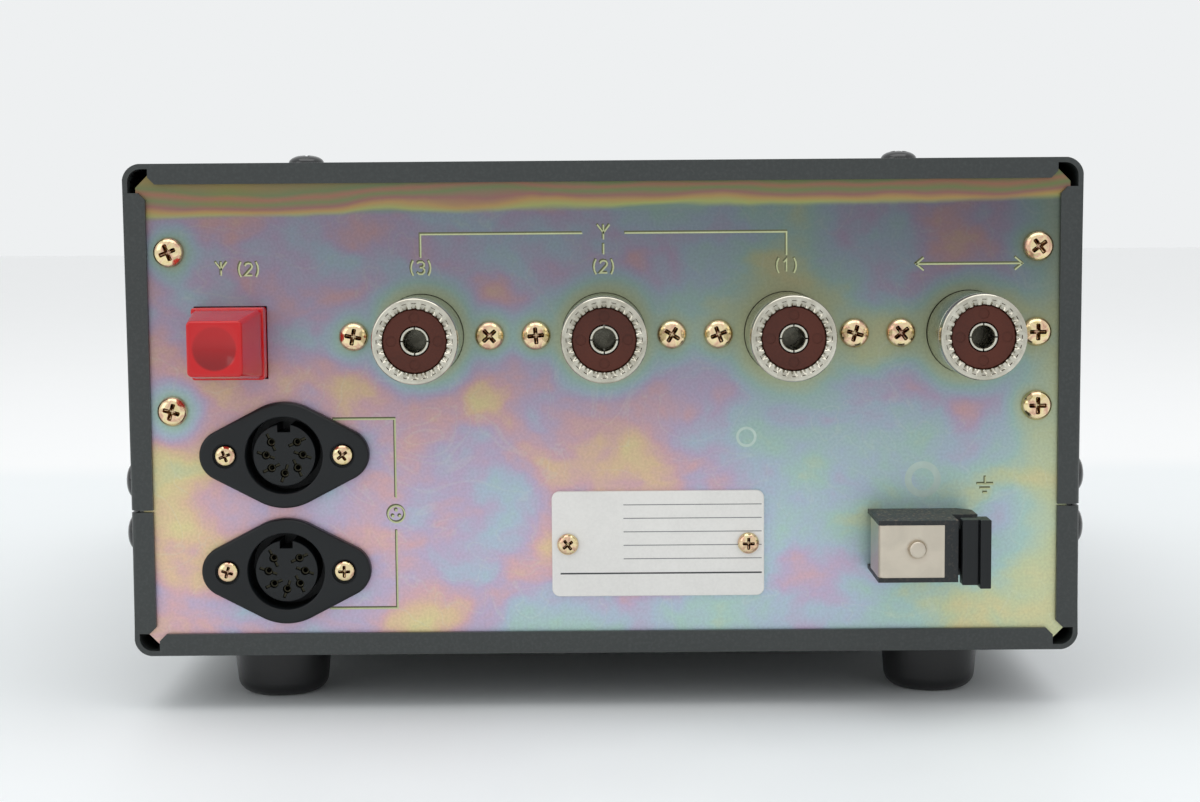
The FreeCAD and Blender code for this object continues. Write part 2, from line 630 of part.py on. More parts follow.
def cover(name, outer, inner, lip_edge, low, high, screws):
    """A steel U from the front panel to the rear lips. outer and inner are the levels of its
    broad wall, lip_edge the inner edge of that wall's lip, low and high the ends of its
    sides."""
    body = new_body(name)
    rim = high if outer == low else low
    profile = [
        (f"-{SIDE}", rim), (f"-{SIDE}", outer), (SIDE, outer), (SIDE, rim),
        (f"{SIDE} - cover_sheet", rim), (f"{SIDE} - cover_sheet", inner),
        (f"-{SIDE} + cover_sheet", inner), (f"-{SIDE} + cover_sheet", rim)]
    pad(body, name + "_bent", "XZ", profile, COVER_FRONT, REAR)
    round_edges(body, name + "_inner_corner", "cover_corner - cover_sheet",
                edge_on(x=f"{SIDE} - cover_sheet", z=inner))
    round_edges(body, name + "_corner", "cover_corner", edge_on(x=SIDE, z=outer))
    end = "lip_end_top"
    step = "lip_bevel" if outer == high else "-lip_bevel"
    lip = [(f"-{SIDE} + {end}", outer), (f"{SIDE} - {end}", outer),
           (f"{SIDE} - {end}", f"{lip_edge} + {step}"),
           (f"{SIDE} - {end} - lip_bevel", lip_edge),
           (f"-{SIDE} + {end} + lip_bevel", lip_edge),
           (f"-{SIDE} + {end}", f"{lip_edge} + {step}")]
    pad(body, name + "_lip", "XZ", lip, f"{REAR} - cover_sheet", REAR)
    stop = f"({TOP} - lip_end_side)" if outer == high else "(foot_height + lip_end_low)"
    for sign, word in (("-1", "left"), ("1", "right")):
        side_lip = [(f"{sign} * {SIDE}", rim), (f"{sign} * {SIDE}", stop),
                    (f"{sign} * ({SIDE} - lip_width + lip_bevel)", stop),
                    (f"{sign} * ({SIDE} - lip_width)", f"{stop} - ({step})"),
                    (f"{sign} * ({SIDE} - lip_width)", rim)]
        pad(body, f"{name}_{word}_lip", "XZ", side_lip, f"{REAR} - cover_sheet", REAR)
    wall_screws, side_height = screws
    pocket(body, name + "_wall_holes", "XY", [], wall_screws, f"{outer} - 2 * cover_sheet",
           f"{outer} + 2 * cover_sheet")
    holes = [(y, side_height, "screw_radius") for y in (SIDE_SCREW_FRONT, SIDE_SCREW_REAR)]
    pocket(body, name + "_side_holes", "YZ", [], holes, f"-{SIDE} - past", f"{SIDE} + past")
    return body


def covers():
    top_screws = [(f"{sign} * top_screw_x", y, "screw_radius")
                  for sign in SIGNS for y in (TOP_SCREW_FRONT, TOP_SCREW_REAR)]
    foot_screws = [(f"{sign} * foot_x", y, "screw_radius")
                   for sign in SIGNS for y in (FOOT_FRONT, FOOT_REAR)]
    top = cover("top_cover", TOP, INSIDE_TOP, f"({TOP} - lip_top)",
                above("(seam_height + seam_gap / 2)"), TOP,
                (top_screws, above("side_screw_upper")))
    bottom = cover("bottom_cover", "foot_height", INSIDE_LOW, "(foot_height + lip_width)",
                   "foot_height", above("(seam_height - seam_gap / 2)"),
                   (foot_screws, above("side_screw_lower")))
    return [top, bottom]


# ---- panels and frames ----

def channel(name, web, web_inside, flange_end, holes, outlines, plate_screws):
    """A panel with its top and bottom edges folded over, as a channel. web and web_inside
    are the faces of the panel, and flange_end where the two flanges stop."""
    body = new_body(name)
    low, high = (web_inside, web) if number(web) > number(web_inside) else (web, web_inside)
    profile = [(web, INSIDE_LOW), (web, INSIDE_TOP), (flange_end, INSIDE_TOP),
               (flange_end, f"{INSIDE_TOP} - panel_sheet"),
               (web_inside, f"{INSIDE_TOP} - panel_sheet"),
               (web_inside, f"{INSIDE_LOW} + panel_sheet"),
               (flange_end, f"{INSIDE_LOW} + panel_sheet"), (flange_end, INSIDE_LOW)]
    pad(body, name + "_folded", "YZ", profile, "-flange_half_width", "flange_half_width")
    for level, word in ((INSIDE_TOP, "top"), (INSIDE_LOW, "low")):
        round_edges(body, f"{name}_{word}_bend", "panel_bend", edge_on(y=web, z=level))
    for sign, word in (("-1", "left"), ("1", "right")):
        upper = [("flange_half_width - past", f"{INSIDE_TOP} - panel_bend"),
                 ("flange_half_width", f"{INSIDE_TOP} - panel_bend"),
                 ("flange_half_width", f"{INSIDE_TOP} - web_gap"),
                 ("web_half_width - web_chamfer", f"{INSIDE_TOP} - web_gap"),
                 ("web_half_width", f"{INSIDE_TOP} - web_gap - web_chamfer")]
        lower = [(x, f"{INSIDE_TOP} + {INSIDE_LOW} - ({z})") for x, z in reversed(upper)]
        wing = [(f"{sign} * ({x})", z) for x, z in upper + lower]
        pad(body, f"{name}_{word}_wing", "XZ", wing, low, high)
    pocket(body, name + "_holes", "XZ", outlines, holes, f"{low} - past", f"{high} + past")
    pocket(body, name + "_flange_holes", "XY", [], plate_screws, "foot_height", TOP)
    return body


def rear_panel():
    """The socket panel."""
    holes = [(x, above("socket_height"), "thread_radius + hole_clearance") for x in SOCKETS.values()]
    holes += [(f"{x} + {sign} * socket_screw_x", above("socket_height"), "screw_radius")
              for x in SOCKETS.values() for sign in SIGNS]
    holes += [(f"{sign} * panel_screw_x", above(z), "screw_radius")
              for sign in SIGNS for z in ("panel_screw_lower", "panel_screw_upper")]
    for z in (above("accessory_upper"), above("accessory_lower")):
        holes.append(("accessory_x", z, "accessory_barrel + hole_clearance"))
        holes += [(f"accessory_x + {sign} * accessory_screw_x", z, "small_screw_radius")
                  for sign in SIGNS]
    holes += [(f"nameplate_x + {sign} * nameplate_screw_x", above("nameplate_height"),
               "small_screw_radius") for sign in SIGNS]
    half = "(button_collar / 2 + button_clearance)"
    opening = rectangle((f"button_x - {half}", f"button_x + {half}"),
                        (f"{above('button_height')} - {half}", f"{above('button_height')} + {half}"))
    flange_holes = [(f"{sign} * {x}", y, "screw_radius") for sign in SIGNS
                    for x, y in (("top_screw_x", TOP_SCREW_REAR), ("foot_x", FOOT_REAR))]
    return channel("rear_panel", WEB, WEB_INSIDE, f"({WEB} - panel_flange)", holes, [opening],
                   flange_holes)


def front_subpanel():
    """The steel panel behind the moulded front."""
    holes = [(f"{sign} * boss_x", above(z), "screw_radius")
             for sign in SIGNS for z in ("boss_low", "boss_high")]
    holes += [(x, above("front_button_low"), "stem_radius + free_clearance")
              for x in ("power_x", "tune_x")]
    holes.append(("knob_x", above("knob_height"), "shaft_radius + free_clearance"))
    half_width = "(meter_width / 2 - meter_wall)"
    half_tall = "(meter_tall / 2 - meter_wall)"
    middle = above("meter_height")
    opening = rectangle((f"meter_x - {half_width}", f"meter_x + {half_width}"),
                        (f"{middle} - {half_tall}", f"{middle} + {half_tall}"))
    flange_holes = [(f"{sign} * {x}", y, "screw_radius") for sign in SIGNS
                    for x, y in (("top_screw_x", TOP_SCREW_FRONT), ("foot_x", FOOT_FRONT))]
    return channel("front_subpanel", SUBPANEL, SUBPANEL_INSIDE, f"({SUBPANEL} + panel_flange)",
                   holes, [opening], flange_holes)


def side_frame(name, sign):
    """A side of the chassis, with both ends folded in behind the panels."""
    body = new_body(name)
    outside = f"{sign} * frame_half_width"
    inside = f"{sign} * (frame_half_width - panel_sheet)"
    tip = f"{sign} * (frame_half_width - frame_flange)"
    profile = [(tip, SUBPANEL_INSIDE), (outside, SUBPANEL_INSIDE), (outside, WEB_INSIDE),
               (tip, WEB_INSIDE), (tip, f"{WEB_INSIDE} - panel_sheet"),
               (inside, f"{WEB_INSIDE} - panel_sheet"),
               (inside, f"{SUBPANEL_INSIDE} + panel_sheet"),
               (tip, f"{SUBPANEL_INSIDE} + panel_sheet")]
    pad(body, name + "_folded", "XY", profile, f"{INSIDE_LOW} + frame_margin",
        f"{INSIDE_TOP} - frame_margin")
    notch = rectangle((tip, inside), (above("notch_low"), above("notch_high")))
    rear_holes = [(f"{sign} * panel_screw_x", above(z), "screw_radius")
                  for z in ("panel_screw_lower", "panel_screw_upper")]
    pocket(body, name + "_rear_notch", "XZ", [notch], rear_holes,
           f"{WEB_INSIDE} - panel_sheet - past", f"{WEB_INSIDE} + past")
    front_holes = [(f"{sign} * boss_x", above(z), "pan_radius + free_clearance")
                   for z in ("boss_low", "boss_high")]
    pocket(body, name + "_front_holes", "XZ", [], front_holes, f"{SUBPANEL_INSIDE} - past",
           f"{SUBPANEL_INSIDE} + panel_sheet + past")
    side_holes = [(y, above(z), "screw_radius") for y in (SIDE_SCREW_FRONT, SIDE_SCREW_REAR)
                  for z in ("side_screw_lower", "side_screw_upper")]
    ends = sorted((outside, inside), key=number)
    pocket(body, name + "_side_holes", "YZ", [], side_holes, f"{ends[0]} - past",
           f"{ends[1]} + past")
    return body


def chassis_deck():
    """The shelf between the side frames, with the pillars that carry the main board."""
    reach = "(frame_half_width - panel_sheet)"
    sheet = box("deck_sheet", (f"-{reach}", reach), ("deck_front", "deck_rear"),
                (above("deck_height"), DECK_TOP))
    folds = [box(f"deck_fold_{word}", ends, ("deck_front", "deck_rear"),
                 (above("(deck_height - deck_fold)"), above("deck_height")))
             for word, ends in (("left", (f"-{reach}", f"-{reach} + panel_sheet")),
                                ("right", (f"{reach} - panel_sheet", reach)))]
    board_top = above("(board_height + board_sheet)")
    pillars = []
    bores = []
    for sign, y in ((sign, y) for sign in SIGNS for y in ("pillar_front", "pillar_rear")):
        index = len(pillars)
        spot = (f"{sign} * pillar_x", y, board_top)
        pillars.append(rod(f"pillar_{index}", "pillar_radius",
                           "deck_height - board_height - board_sheet", spot))
        bores.append(rod(f"pillar_bore_{index}", "screw_radius", "screw_length", spot))
    return cut("chassis_deck", fuse("deck_with_pillars", sheet, *folds, *pillars), *bores)


def rubber_feet():
    """Four turned feet, each with a recess for its screw."""
    feet = []
    for sign, y in ((sign, y) for sign in SIGNS for y in (FOOT_FRONT, FOOT_REAR)):
        name = f"foot_{len(feet) + 1}"
        body = new_body(name)
        revolve(body, name + "_turned", "XZ", [
            ("foot_recess_radius", "0"), ("foot_low_radius", "0"),
            ("foot_top_radius", "foot_height"), ("screw_radius", "foot_height"),
            ("screw_radius", "foot_recess_depth"), ("foot_recess_radius", "foot_recess_depth")])
        round_edges(body, name + "_edge", "foot_edge", foot_rim)
        feet.append(place(body, f"{sign} * foot_x", y, "0"))
    return group("rubber_feet", *feet)


def foot_rim(edge):
    """Accepts the outer lower edge of a foot, in the foot's own frame."""
    low = edge.BoundBox
    return low.ZMax < TOUCH and low.XMax > number("foot_recess_radius") + TOUCH


# ---- coaxial sockets ----

def socket_shell(name, x):
    """A threaded shell with its flange behind the panel."""
    height = above("socket_height")
    back = f"({WEB_INSIDE} - socket_flange)"
    thread = rod(name + "_thread", "thread_radius", "thread_length - socket_neck",
                 (x, f"{WEB} + socket_neck", height), "+y")
    neck = rod(name + "_neck", "neck_radius", f"{WEB} + socket_neck - {back}", (x, back, height),
               "+y")
    plate = box(name + "_plate", (f"{x} - socket_screw_x", f"{x} + socket_screw_x"),
                (back, WEB_INSIDE), (f"{height} - thread_radius", f"{height} + thread_radius"))
    ends = [rod(f"{name}_end_{sign}", "socket_flange_radius", "socket_flange",
                (f"{x} + {sign} * socket_screw_x", back, height), "+y") for sign in SIGNS]
    bore = rod(name + "_bore", "insulator_radius", f"{WEB} + thread_length - {back} + 2 * past",
               (x, f"{back} - past", height), "+y")
    taps = [rod(f"{name}_tap_{sign}", "screw_radius", "socket_flange + 2 * past",
                (f"{x} + {sign} * socket_screw_x", f"{back} - past", height), "+y")
            for sign in SIGNS]
    return cut(name + "_shell", fuse(name + "_blank", thread, neck, plate, *ends), bore, *taps)


def socket_middles():
    """The insulators and the slit centre contacts of the four sockets."""
    insulators = []
    contacts = []
    height = above("socket_height")
    tip = f"({WEB} + thread_length - insulator_inset)"
    tail = f"({WEB} - socket_back - contact_tail)"
    reach = "(contact_radius + past)"
    back = f"({WEB} - socket_back)"
    for name, x in SOCKETS.items():
        blank = rod(name + "_insulator_blank", "insulator_radius", f"{tip} - {back}",
                    (x, back, height), "+y")
        hole = rod(name + "_insulator_hole", "contact_radius", f"{tip} - {back} + 2 * past",
                   (x, f"{back} - past", height), "+y")
        insulators.append(cut(name + "_insulator", blank, hole))
        pin = rod(name + "_pin", "contact_radius", f"{tip} - {tail}", (x, tail, height), "+y")
        bore = rod(name + "_contact_bore", "contact_bore", "contact_depth + past",
                   (x, f"{tip} - contact_depth", height), "+y")
        slit_depth = (f"{tip} - contact_depth / 2", f"{tip} + past")
        slits = [box(f"{name}_slit_{word}", across, slit_depth, tall)
                 for word, across, tall in (
                     ("flat", (f"{x} - {reach}", f"{x} + {reach}"),
                      (f"{height} - contact_slit / 2", f"{height} + contact_slit / 2")),
                     ("upright", (f"{x} - contact_slit / 2", f"{x} + contact_slit / 2"),
                      (f"{height} - {reach}", f"{height} + {reach}")))]
        contacts.append(cut(name + "_contact", pin, bore, *slits))
    screws = [(f"{x} + {sign} * socket_screw_x", WEB, height, "+y")
              for x in SOCKETS.values() for sign in SIGNS]
    return [group("socket_insulators", *insulators), group("socket_contacts", *contacts),
            screw_group("socket_screws", socket_screw, screws)]


# ---- accessory sockets ----

def accessory_socket(name, height):
    """A seven-way round socket: its moulded body and its contacts."""
    x = "accessory_x"
    face = f"({WEB} + accessory_flange)"
    slope = "((accessory_radius - accessory_end_radius) / accessory_screw_x)"
    rise = f"sqrt(1 - {slope} * {slope})"
    inner = (f"accessory_radius * {slope}", f"accessory_radius * {rise}")
    outer = (f"accessory_screw_x + accessory_end_radius * {slope}", f"accessory_end_radius * {rise}")
    middle = [(f"{x} + {sx} * ({px})", f"{height} + {sz} * ({pz})") for sx, sz, (px, pz) in (
        ("-1", "-1", inner), ("1", "-1", inner), ("1", "-1", outer), ("1", "1", outer),
        ("1", "1", inner), ("-1", "1", inner), ("-1", "1", outer), ("-1", "-1", outer))]
    flange = new_body(name + "_flange")
    pad(flange, name + "_flange_pad", "XZ", middle, WEB, face)
    rounds = [rod(f"{name}_round_{index}", radius, "accessory_flange",
                  (f"{x} + {shift}", WEB, height), "+y")
              for index, (shift, radius) in enumerate((
                  ("0", "accessory_radius"), ("accessory_screw_x", "accessory_end_radius"),
                  ("-accessory_screw_x", "accessory_end_radius")))]
    barrel = rod(name + "_barrel", "accessory_barrel", "accessory_depth",
                 (x, f"{WEB} - accessory_depth", height), "+y")
    mouth = rod(name + "_mouth", "accessory_mouth", "accessory_groove + past",
                (x, f"{face} - accessory_groove", height), "+y")
    key = box(name + "_key", (f"{x} - accessory_key / 2", f"{x} + accessory_key / 2"),
              (f"{face} - accessory_groove", f"{face} + past"),
              (f"{height} + accessory_insert - accessory_key_depth",
               f"{height} + accessory_insert + past"))
    taps = [rod(f"{name}_tap_{sign}", "small_screw_radius", "accessory_flange + 2 * past",
                (f"{x} + {sign} * accessory_screw_x", f"{WEB} - past", height), "+y")
            for sign in SIGNS]
    sinks = [rod(f"{name}_sink_{sign}", "accessory_sink_radius", "accessory_sink + past",
                 (f"{x} + {sign} * accessory_screw_x", f"{face} - accessory_sink", height), "+y")
             for sign in SIGNS]
    hollow = cut(name + "_hollow", fuse(name + "_blank", flange, *rounds, barrel), mouth, *taps,
                 *sinks)
    insert = rod(name + "_insert", "accessory_insert", "accessory_groove - accessory_recess + past",
                 (x, f"{face} - accessory_groove - past", height), "+y")
    barrel_back = f"({WEB} - accessory_depth)"
    tail = f"({barrel_back} - accessory_pin_tail)"
    tip = f"({face} - accessory_recess - accessory_pin_inset)"
    holes = []
    pins = []
    for index, step in enumerate(CONTACT_STEPS):
        spot_x = f"{x} + accessory_circle * sin({step} * accessory_angle * 1 deg)"
        spot_z = f"{height} - accessory_circle * cos({step} * accessory_angle * 1 deg)"
        holes.append(rod(f"{name}_hole_{index}", "accessory_pin", f"{face} - {barrel_back} + 2 * past",
                         (spot_x, f"{barrel_back} - past", spot_z), "+y"))
        pins.append(rod(f"{name}_pin_{index}", "accessory_pin", f"{tip} - {tail}",
                        (spot_x, tail, spot_z), "+y"))
    solid = cut(name, fuse(name + "_moulding", hollow, insert), key, *holes)
    return [solid, group(name.replace("socket", "contacts"), *pins)]


def accessory_screws():
    seat = f"({WEB} + accessory_flange - accessory_sink)"
    spots = [(f"accessory_x + {sign} * accessory_screw_x", seat, above(z), "+y")
             for z in ("accessory_lower", "accessory_upper") for sign in SIGNS]
    return screw_group("accessory_socket_screws", small_screw, spots)


def nameplate():
    """A blank plate with rounded corners, and its two screws."""
    height = above("nameplate_height")
    face = f"({WEB} + nameplate_sheet)"
    body = new_body("nameplate")
    pad(body, "nameplate_blank", "XZ",
        rectangle(("nameplate_x - nameplate_width / 2", "nameplate_x + nameplate_width / 2"),
                  (f"{height} - nameplate_tall / 2", f"{height} + nameplate_tall / 2")), WEB, face)
    round_edges(body, "nameplate_corners", "nameplate_corner",
                lambda edge: abs(edge.Length - number("nameplate_sheet")) < TOUCH)
    holes = [(f"nameplate_x + {sign} * nameplate_screw_x", height, "small_screw_radius")
             for sign in SIGNS]
    pocket(body, "nameplate_holes", "XZ", [], holes, f"{WEB} - past", f"{face} + past")
    screws = [(x, face, height, "+y") for x, height, radius in holes]
    return [body, screw_group("nameplate_screws", small_screw, screws)]


# ---- bypass push button ----

def bypass_button():
    """A square tapered cap with a dished face, and the stem that works its switch."""
    height = above("button_height")
    base = f"({WEB} + button_collar_reach)"
    face = f"({WEB} + button_reach)"
    taper = doc.addObject("Part::Wedge", "button_taper")
    bind(taper, Ymin=base, Ymax=face)
    for axis, middle in (("X", "button_x"), ("Z", height)):
        for end, side in (("min", "- button_base / 2"), ("max", "+ button_base / 2")):
            taper.setExpression(axis + end, formula(f"{middle} {side}"))
        for end, side in (("min", "- button_face / 2"), ("max", "+ button_face / 2")):
            taper.setExpression(f"{axis}2{end}", formula(f"{middle} {side}"))
    half = "button_collar / 2"
    collar = box("button_collar_block", (f"button_x - {half}", f"button_x + {half}"),
                 (f"{WEB} - panel_sheet", base), (f"{height} - {half}", f"{height} + {half}"))
    stem_end = "(switch_back - switch_wall - button_travel - end_gap)"
    stem = rod("button_stem", "stem_radius", stem_end, ("button_x", f"{WEB} - {stem_end}", height),
               "+y")
    ball = "((button_dish * button_dish / button_dish_depth + button_dish_depth) / 2)"
    dish = doc.addObject("Part::Sphere", "button_dish_ball")
    bind(dish, Radius=ball)
    place(dish, "button_x", f"{face} - button_dish_depth + {ball}", height)
    return cut("bypass_button", fuse("button_blank", taper, collar, stem), dish)


def bypass_switch():
    """The switch behind the push button, with the sleeve that carries it on the panel."""
    height = above("button_height")
    half = "(switch_body / 2)"
    front = f"({WEB} - switch_front)"
    back = f"({WEB} - switch_back)"
    block = box("switch_block", (f"button_x - {half}", f"button_x + {half}"), (back, WEB_INSIDE),
                (f"{height} - {half}", f"{height} + {half}"))
    well_half = "(button_collar / 2 + button_clearance)"
    well = box("switch_well", (f"button_x - {well_half}", f"button_x + {well_half}"),
               (front, f"{WEB} + past"), (f"{height} - {well_half}", f"{height} + {well_half}"))
    bore = rod("switch_bore", "stem_radius + stem_clearance", "switch_back - switch_wall",
               ("button_x", f"{back} + switch_wall", height), "+y")
    return cut("bypass_switch", block, well, bore)


# ---- ground terminal ----

def ground_terminal():
    """A sprung clamp: body, wrapped plate, stud and lever."""
    low, high = above("ground_low"), above("ground_high")
    face = f"({WEB} + ground_reach)"
    left, right = "-ground_left", "-ground_right"
    floor = f"({WEB} + ground_floor)"
    shoulder = "-ground_shoulder_left"
    hull = new_body("ground_hull")
    pad(hull, "ground_hull_pad", "XY",
        [(right, WEB), (right, face), (left, face), (left, f"{WEB} + ground_shoulder"),
         (shoulder, f"{WEB} + ground_shoulder"), (shoulder, f"{WEB} + ground_chamfer"),
         (f"{shoulder} + ground_chamfer", WEB)], low, high)
    cavity = box("ground_cavity", (f"{shoulder} - past", f"{right} - 2 * ground_wall"),
                 (floor, f"{face} - ground_plate - ground_wall"),
                 (f"{low} + ground_wall", f"{high} - ground_wall"))
    plate_low = f"({low} + ground_plate_margin)"
    plate_high = f"({high} - ground_plate_margin)"
    front_seat = box("ground_front_seat", ("-ground_plate_side", f"{right} + past"),
                     (f"{face} - ground_plate", f"{face} + past"), (plate_low, plate_high))
    side_seat = box("ground_side_seat", (f"{right} - ground_plate", f"{right} + past"),
                    (f"{floor} - past", face), (plate_low, plate_high))
    gap = box("ground_side_gap", (f"{right} - ground_gap", f"{right} + past"),
              (f"{WEB} - past", floor), (plate_low, plate_high))
    stud_x, stud_height = "-ground_stud_x", above("ground_stud_height")
    stud_hole = rod("ground_stud_hole", "ground_stud", "ground_plate + ground_wall + 2 * past",
                    (stud_x, f"{face} - ground_plate - ground_wall - past", stud_height), "+y")
    pin = rod("ground_pin_rod", "ground_pin", f"{high} - {low} - 2 * ground_wall",
              ("-ground_pin_x", f"{WEB} + ground_pin_reach", f"{low} + ground_wall"))
    shell = cut("ground_shell", hull, cavity, front_seat, side_seat, gap, stud_hole)
    body = fuse("ground_terminal_body", shell, pin)
    front_leaf = box("ground_front_leaf", ("-ground_plate_side", right),
                     (f"{face} - ground_plate", face), (plate_low, plate_high))
    side_leaf = box("ground_side_leaf", (f"{right} - ground_plate", right), (floor, face),
                    (plate_low, plate_high))
    plate = cut("ground_terminal_plate", fuse("ground_leaves", front_leaf, side_leaf),
                rod("ground_plate_hole", "ground_stud", "ground_plate + 2 * past",
                    (stud_x, f"{face} - ground_plate - past", stud_height), "+y"))
    stud = rod("ground_terminal_stud", "ground_stud",
               "ground_plate + ground_wall + ground_stud_proud",
               (stud_x, f"{face} - ground_plate - ground_wall", stud_height), "+y")
    return [body, plate, stud]


def ground_lever():
    """The tab that opens the clamp, its arm and the eye round its hinge pin."""
    middle = above("((ground_low + ground_high) / 2)")
    hinge_y = f"({WEB} + ground_pin_reach)"
    arm_low = f"({middle} - lever_arm_tall / 2)"
    arm_high = f"({middle} + lever_arm_tall / 2)"
    tip = f"({WEB} + lever_reach)"
    top = above("lever_high")
    flat = f"({tip} - lever_step)"
    tab = box("lever_tab", ("-lever_left", "-lever_right"), (f"{tip} - lever_thick", flat),
              (above("lever_tab_low"), top))
    inner = "(-lever_left + lever_ridge)"
    ridge = box("lever_ridge_bar", ("-lever_left", inner), (f"{tip} - lever_ridge_deep", tip),
                (above("lever_low"), top))
    groove = box("lever_groove_cut", (inner, f"{inner} + lever_groove"),
                 (f"{flat} - lever_step", tip), (above("lever_low"), f"{top} + past"))
    neck = box("lever_neck", ("-lever_right - lever_arm", "-lever_right"),
               (f"{hinge_y} - lever_arm / 2", flat), (arm_low, arm_high))
    arm = box("lever_arm_bar", ("-lever_right - lever_arm", "-ground_pin_x"),
              (f"{hinge_y} - lever_arm / 2", f"{hinge_y} + lever_arm / 2"), (arm_low, arm_high))
    eye = rod("lever_eye_ring", "lever_eye", "lever_arm_tall", ("-ground_pin_x", hinge_y, arm_low))
    bore = rod("lever_eye_bore", "ground_pin + stem_clearance", "lever_arm_tall + 2 * past",
               ("-ground_pin_x", hinge_y, f"{arm_low} - past"))
    return cut("ground_lever", fuse("lever_blank", tab, ridge, neck, arm, eye), bore, groove)


# ---- front panel and its controls ----

def lens_x(index):
    return f"(knob_x + {index - 1} * lens_pitch)"


def front_panel():
    """The moulded front: a face inside a rim, a skirt behind it and four screw bosses."""
    blank = box("front_blank", (f"-{SIDE}", SIDE), (FRONT, SUBPANEL), ("foot_height", TOP))
    rounded = doc.addObject("Part::Fillet", "front_rounded")
    rounded.Base = blank
    doc.recompute()
    corner = number("cover_corner")
    rounded.Edges = [(index, corner, corner) for index, edge in enumerate(blank.Shape.Edges, 1)
                     if abs(edge.Length - number("front_depth")) < TOUCH]
    wall = "front_wall"
    hollow = box("front_hollow", (f"-{SIDE} + {wall}", f"{SIDE} - {wall}"),
                 (FACE_INSIDE, f"{SUBPANEL} + past"), (f"foot_height + {wall}", f"{TOP} - {wall}"))
    recess = box("front_recess", (f"-{SIDE} + {wall}", f"{SIDE} - {wall}"),
                 (f"{FRONT} - past", FACE), (f"foot_height + {wall}", f"{TOP} - {wall}"))
    bosses = []
    taps = []
    for sign, z in ((sign, z) for sign in SIGNS for z in ("boss_low", "boss_high")):
        index = len(bosses)
        spot = (f"{sign} * boss_x", f"{FACE_INSIDE} - past", above(z))
        bosses.append(rod(f"boss_{index}", "boss_radius", f"{SUBPANEL} - {FACE_INSIDE} + past",
                          spot, "+y"))
        taps.append(rod(f"boss_tap_{index}", "screw_radius", "screw_length",
                        (spot[0], f"{SUBPANEL_INSIDE} - screw_length", spot[2]), "+y"))
    shell = fuse("front_shell", cut("front_cup", rounded, hollow, recess), *bosses)
    middle = above("meter_height")
    through = (f"{FRONT} - past", f"{FACE_INSIDE} + past")
    through_length = "(front_rim + front_wall + 2 * past)"
    holes = [box("meter_opening", ("meter_x - meter_width / 2", "meter_x + meter_width / 2"),
                 through, (f"{middle} - meter_tall / 2", f"{middle} + meter_tall / 2"))]
    gap = "button_clearance"
    for name, x in (("power", "power_x"), ("tune", "tune_x")):
        z = above("front_button_low")
        half_width, half_tall = f"(front_button_width / 2 + {gap})", f"(front_button_tall / 2 + {gap})"
        holes.append(box(f"{name}_opening", (f"{x} - {half_width}", f"{x} + {half_width}"), through,
                         (f"{z} - {half_tall}", f"{z} + {half_tall}")))
    holes.append(rod("knob_opening", "shaft_radius + free_clearance", through_length,
                     ("knob_x", f"{FRONT} - past", above("knob_height")), "+y"))
    holes += [rod(f"lens_opening_{index}", "lens_radius", through_length,
                  (lens_x(index), f"{FRONT} - past", above("lens_height")), "+y")
              for index in range(LENSES)]
    return cut("front_panel", shell, *holes, *taps)


def indicator_lenses():
    """Three domed lenses in a row, held in the face."""
    lenses = []
    for index in range(LENSES):
        x, z = lens_x(index), above("lens_height")
        barrel = rod(f"lens_barrel_{index}", "lens_radius", "front_wall + lens_tail", (x, FACE, z),
                     "+y")
        dome = doc.addObject("Part::Sphere", f"lens_dome_{index}")
        bind(dome, Radius="lens_radius")
        place(dome, x, FACE, z)
        lenses.append(fuse(f"lens_{index}", barrel, dome))
    return group("indicator_lenses", *lenses)


def front_button(name, x):
    """A push button with a retaining flange behind the face and a stem to its switch."""
    z = above("front_button_low")
    tip = f"({FRONT} - front_button_reach)"
    half_width, half_tall = "front_button_width / 2", "front_button_tall / 2"
    cap_end = f"({FACE_INSIDE} + retainer_gap + retainer_sheet)"
    cap = box(name + "_cap", (f"{x} - {half_width}", f"{x} + {half_width}"), (tip, cap_end),
              (f"{z} - {half_tall}", f"{z} + {half_tall}"))
    wide, tall = f"({half_width} + retainer_width)", f"({half_tall} + retainer_width)"
    flange = box(name + "_flange", (f"{x} - {wide}", f"{x} + {wide}"),
                 (f"{FACE_INSIDE} + retainer_gap", cap_end), (f"{z} - {tall}", f"{z} + {tall}"))
    stem_end = (f"({SUBPANEL_INSIDE} + front_switch_depth - front_switch_wall"
                " - front_button_travel - end_gap)")
    stem = rod(name + "_stem", "stem_radius", f"{stem_end} - {FACE_INSIDE}", (x, FACE_INSIDE, z),
               "+y")
    return fuse(name + "_button", cap, flange, stem)


def front_switches():
    """The two switches behind the front push buttons."""
    switches = []
    z = above("front_button_low")
    half = "front_switch / 2"
    for name, x in (("power", "power_x"), ("tune", "tune_x")):
        block = box(name + "_switch_block", (f"{x} - {half}", f"{x} + {half}"),
                    (SUBPANEL_INSIDE, f"{SUBPANEL_INSIDE} + front_switch_depth"),
                    (f"{z} - {half}", f"{z} + {half}"))
        bore = rod(name + "_switch_bore", "stem_radius + stem_clearance",
                   "front_switch_depth - front_switch_wall + past",
                   (x, f"{SUBPANEL_INSIDE} - past", z), "+y")
        switches.append(cut(name + "_switch", block, bore))
    return group("front_switches", *switches)


